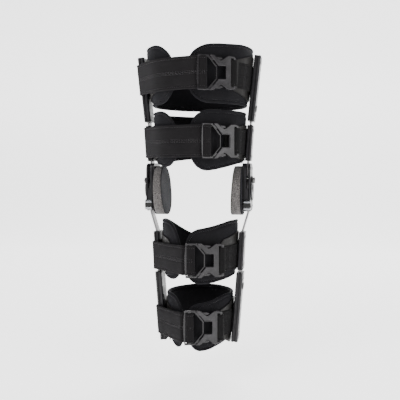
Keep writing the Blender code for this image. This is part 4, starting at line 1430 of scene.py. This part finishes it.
def make_floor():
    """A pale floor that sweeps up into a wall behind the brace."""
    low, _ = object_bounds()
    base = low.z - CALF_TRAVEL - 0.003
    profile = [(FLOOR_FRONT, base)]
    for i in range(13):
        t = math.radians(90.0 * i / 12)
        profile.append((WALL_Y - WALL_BEND * (1 - math.sin(t)), base + WALL_BEND * (1 - math.cos(t))))
    profile.append((WALL_Y, base + WALL_HEIGHT))
    verts = [(x, y, z) for x in (-FLOOR_HALF_WIDTH, FLOOR_HALF_WIDTH) for y, z in profile]
    count = len(profile)
    faces = [(i, i + 1, count + i + 1, count + i) for i in range(count - 1)]
    mesh = bpy.data.meshes.new("studio_floor")
    mesh.from_pydata(verts, [], faces)
    for face in mesh.polygons:
        face.use_smooth = True
    mesh.materials.append(floor_paint())
    floor = bpy.data.objects.new("studio_floor", mesh)
    bpy.context.scene.collection.objects.link(floor)
    floor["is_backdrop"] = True


def make_lights():
    world = bpy.data.worlds.new("studio")
    world.use_nodes = True
    background = world.node_tree.nodes["Background"]
    background.inputs["Color"].default_value = (1.0, 1.0, 1.0, 1.0)
    background.inputs["Strength"].default_value = SKY_STRENGTH
    bpy.context.scene.world = world
    for name, setting in LIGHTS.items():
        area_light(name, *setting)


# ---------------------------------------------------------------- operators

class BraceOperator(bpy.types.Operator):
    """Shared base of the brace's operators"""

    bl_idname = "brace.base"
    bl_label = "Brace Base"

    def build(self):
        raise NotImplementedError

    def execute(self, context):
        self.build()
        return {"FINISHED"}


class BRACE_OT_frame_finish(BraceOperator):
    """Give the uprights, hinges, buckles and wing plates their finishes"""

    bl_idname = "brace.frame_finish"
    bl_label = "Finish Frame"

    def build(self):
        finish_frame()


class BRACE_OT_pads(BraceOperator):
    """Build the cuff pads"""

    bl_idname = "brace.pads"
    bl_label = "Cuff Pads"

    def build(self):
        for key, level in LEVELS.items():
            make_pad(key, level)


class BRACE_OT_straps(BraceOperator):
    """Build the long loop straps and their stitching"""

    bl_idname = "brace.straps"
    bl_label = "Long Straps"

    def build(self):
        for key, level in LEVELS.items():
            make_strap(key, level)


class BRACE_OT_webbings(BraceOperator):
    """Build the short webbings on the right"""

    bl_idname = "brace.webbings"
    bl_label = "Short Webbings"

    def build(self):
        for key, level in LEVELS.items():
            make_webbing(key, level)


class BRACE_OT_condyle_pads(BraceOperator):
    """Build the foam condyle pads"""

    bl_idname = "brace.condyle_pads"
    bl_label = "Condyle Pads"

    def build(self):
        for side in SIDES:
            make_condyle_pad(side)


class BRACE_OT_hinge_trim(BraceOperator):
    """Build the trim on the hinges"""

    bl_idname = "brace.hinge_trim"
    bl_label = "Hinge Trim"

    def build(self):
        for side in SIDES:
            make_dial_ticks(side)
            make_cover_screws(side)
            make_lock_grip(side)


class BRACE_OT_upright_trim(BraceOperator):
    """Build the trim on the uprights"""

    bl_idname = "brace.upright_trim"
    bl_label = "Upright Trim"

    def build(self):
        for side in SIDES:
            make_upright_trim(side)


class BRACE_OT_buckle_trim(BraceOperator):
    """Build the trim on the buckles"""

    bl_idname = "brace.buckle_trim"
    bl_label = "Buckle Trim"

    def build(self):
        for key, level in LEVELS.items():
            make_buckle_trim(key, level)


class BRACE_OT_stage(BraceOperator):
    """Build the studio: floor, lights and camera"""

    bl_idname = "brace.stage"
    bl_label = "Studio"

    def build(self):
        make_floor()
        make_lights()
        make_camera()


class BRACE_PT_panel(bpy.types.Panel):
    """Knee brace builder"""

    bl_idname = "BRACE_PT_panel"
    bl_label = "Knee Brace"
    bl_space_type = "VIEW_3D"
    bl_region_type = "UI"
    bl_category = "Knee Brace"

    def draw(self, context):
        for group in (context.scene.knee_brace_sizes, context.scene.knee_brace_colours):
            box = self.layout.box()
            for name in group.__annotations__:
                box.prop(group, name)
        for operator in OPERATORS:
            self.layout.operator(operator.bl_idname)


OPERATORS = (
    BRACE_OT_frame_finish, BRACE_OT_pads, BRACE_OT_straps, BRACE_OT_webbings, BRACE_OT_condyle_pads,
    BRACE_OT_hinge_trim, BRACE_OT_upright_trim, BRACE_OT_buckle_trim, BRACE_OT_stage,
)
CLASSES = (BraceSizes, BraceColours, *OPERATORS, BRACE_PT_panel)


def register():
    for made in CLASSES:
        bpy.utils.register_class(made)
    bpy.types.Scene.knee_brace_sizes = bpy.props.PointerProperty(type=BraceSizes)
    bpy.types.Scene.knee_brace_colours = bpy.props.PointerProperty(type=BraceColours)


def unregister():
    del bpy.types.Scene.knee_brace_colours
    del bpy.types.Scene.knee_brace_sizes
    for made in reversed(CLASSES):
        bpy.utils.unregister_class(made)


def main():
    register()
    for operator in OPERATORS:
        group, name = operator.bl_idname.split(".")
        getattr(getattr(bpy.ops, group), name)()


if __name__ == "__main__":
    main()
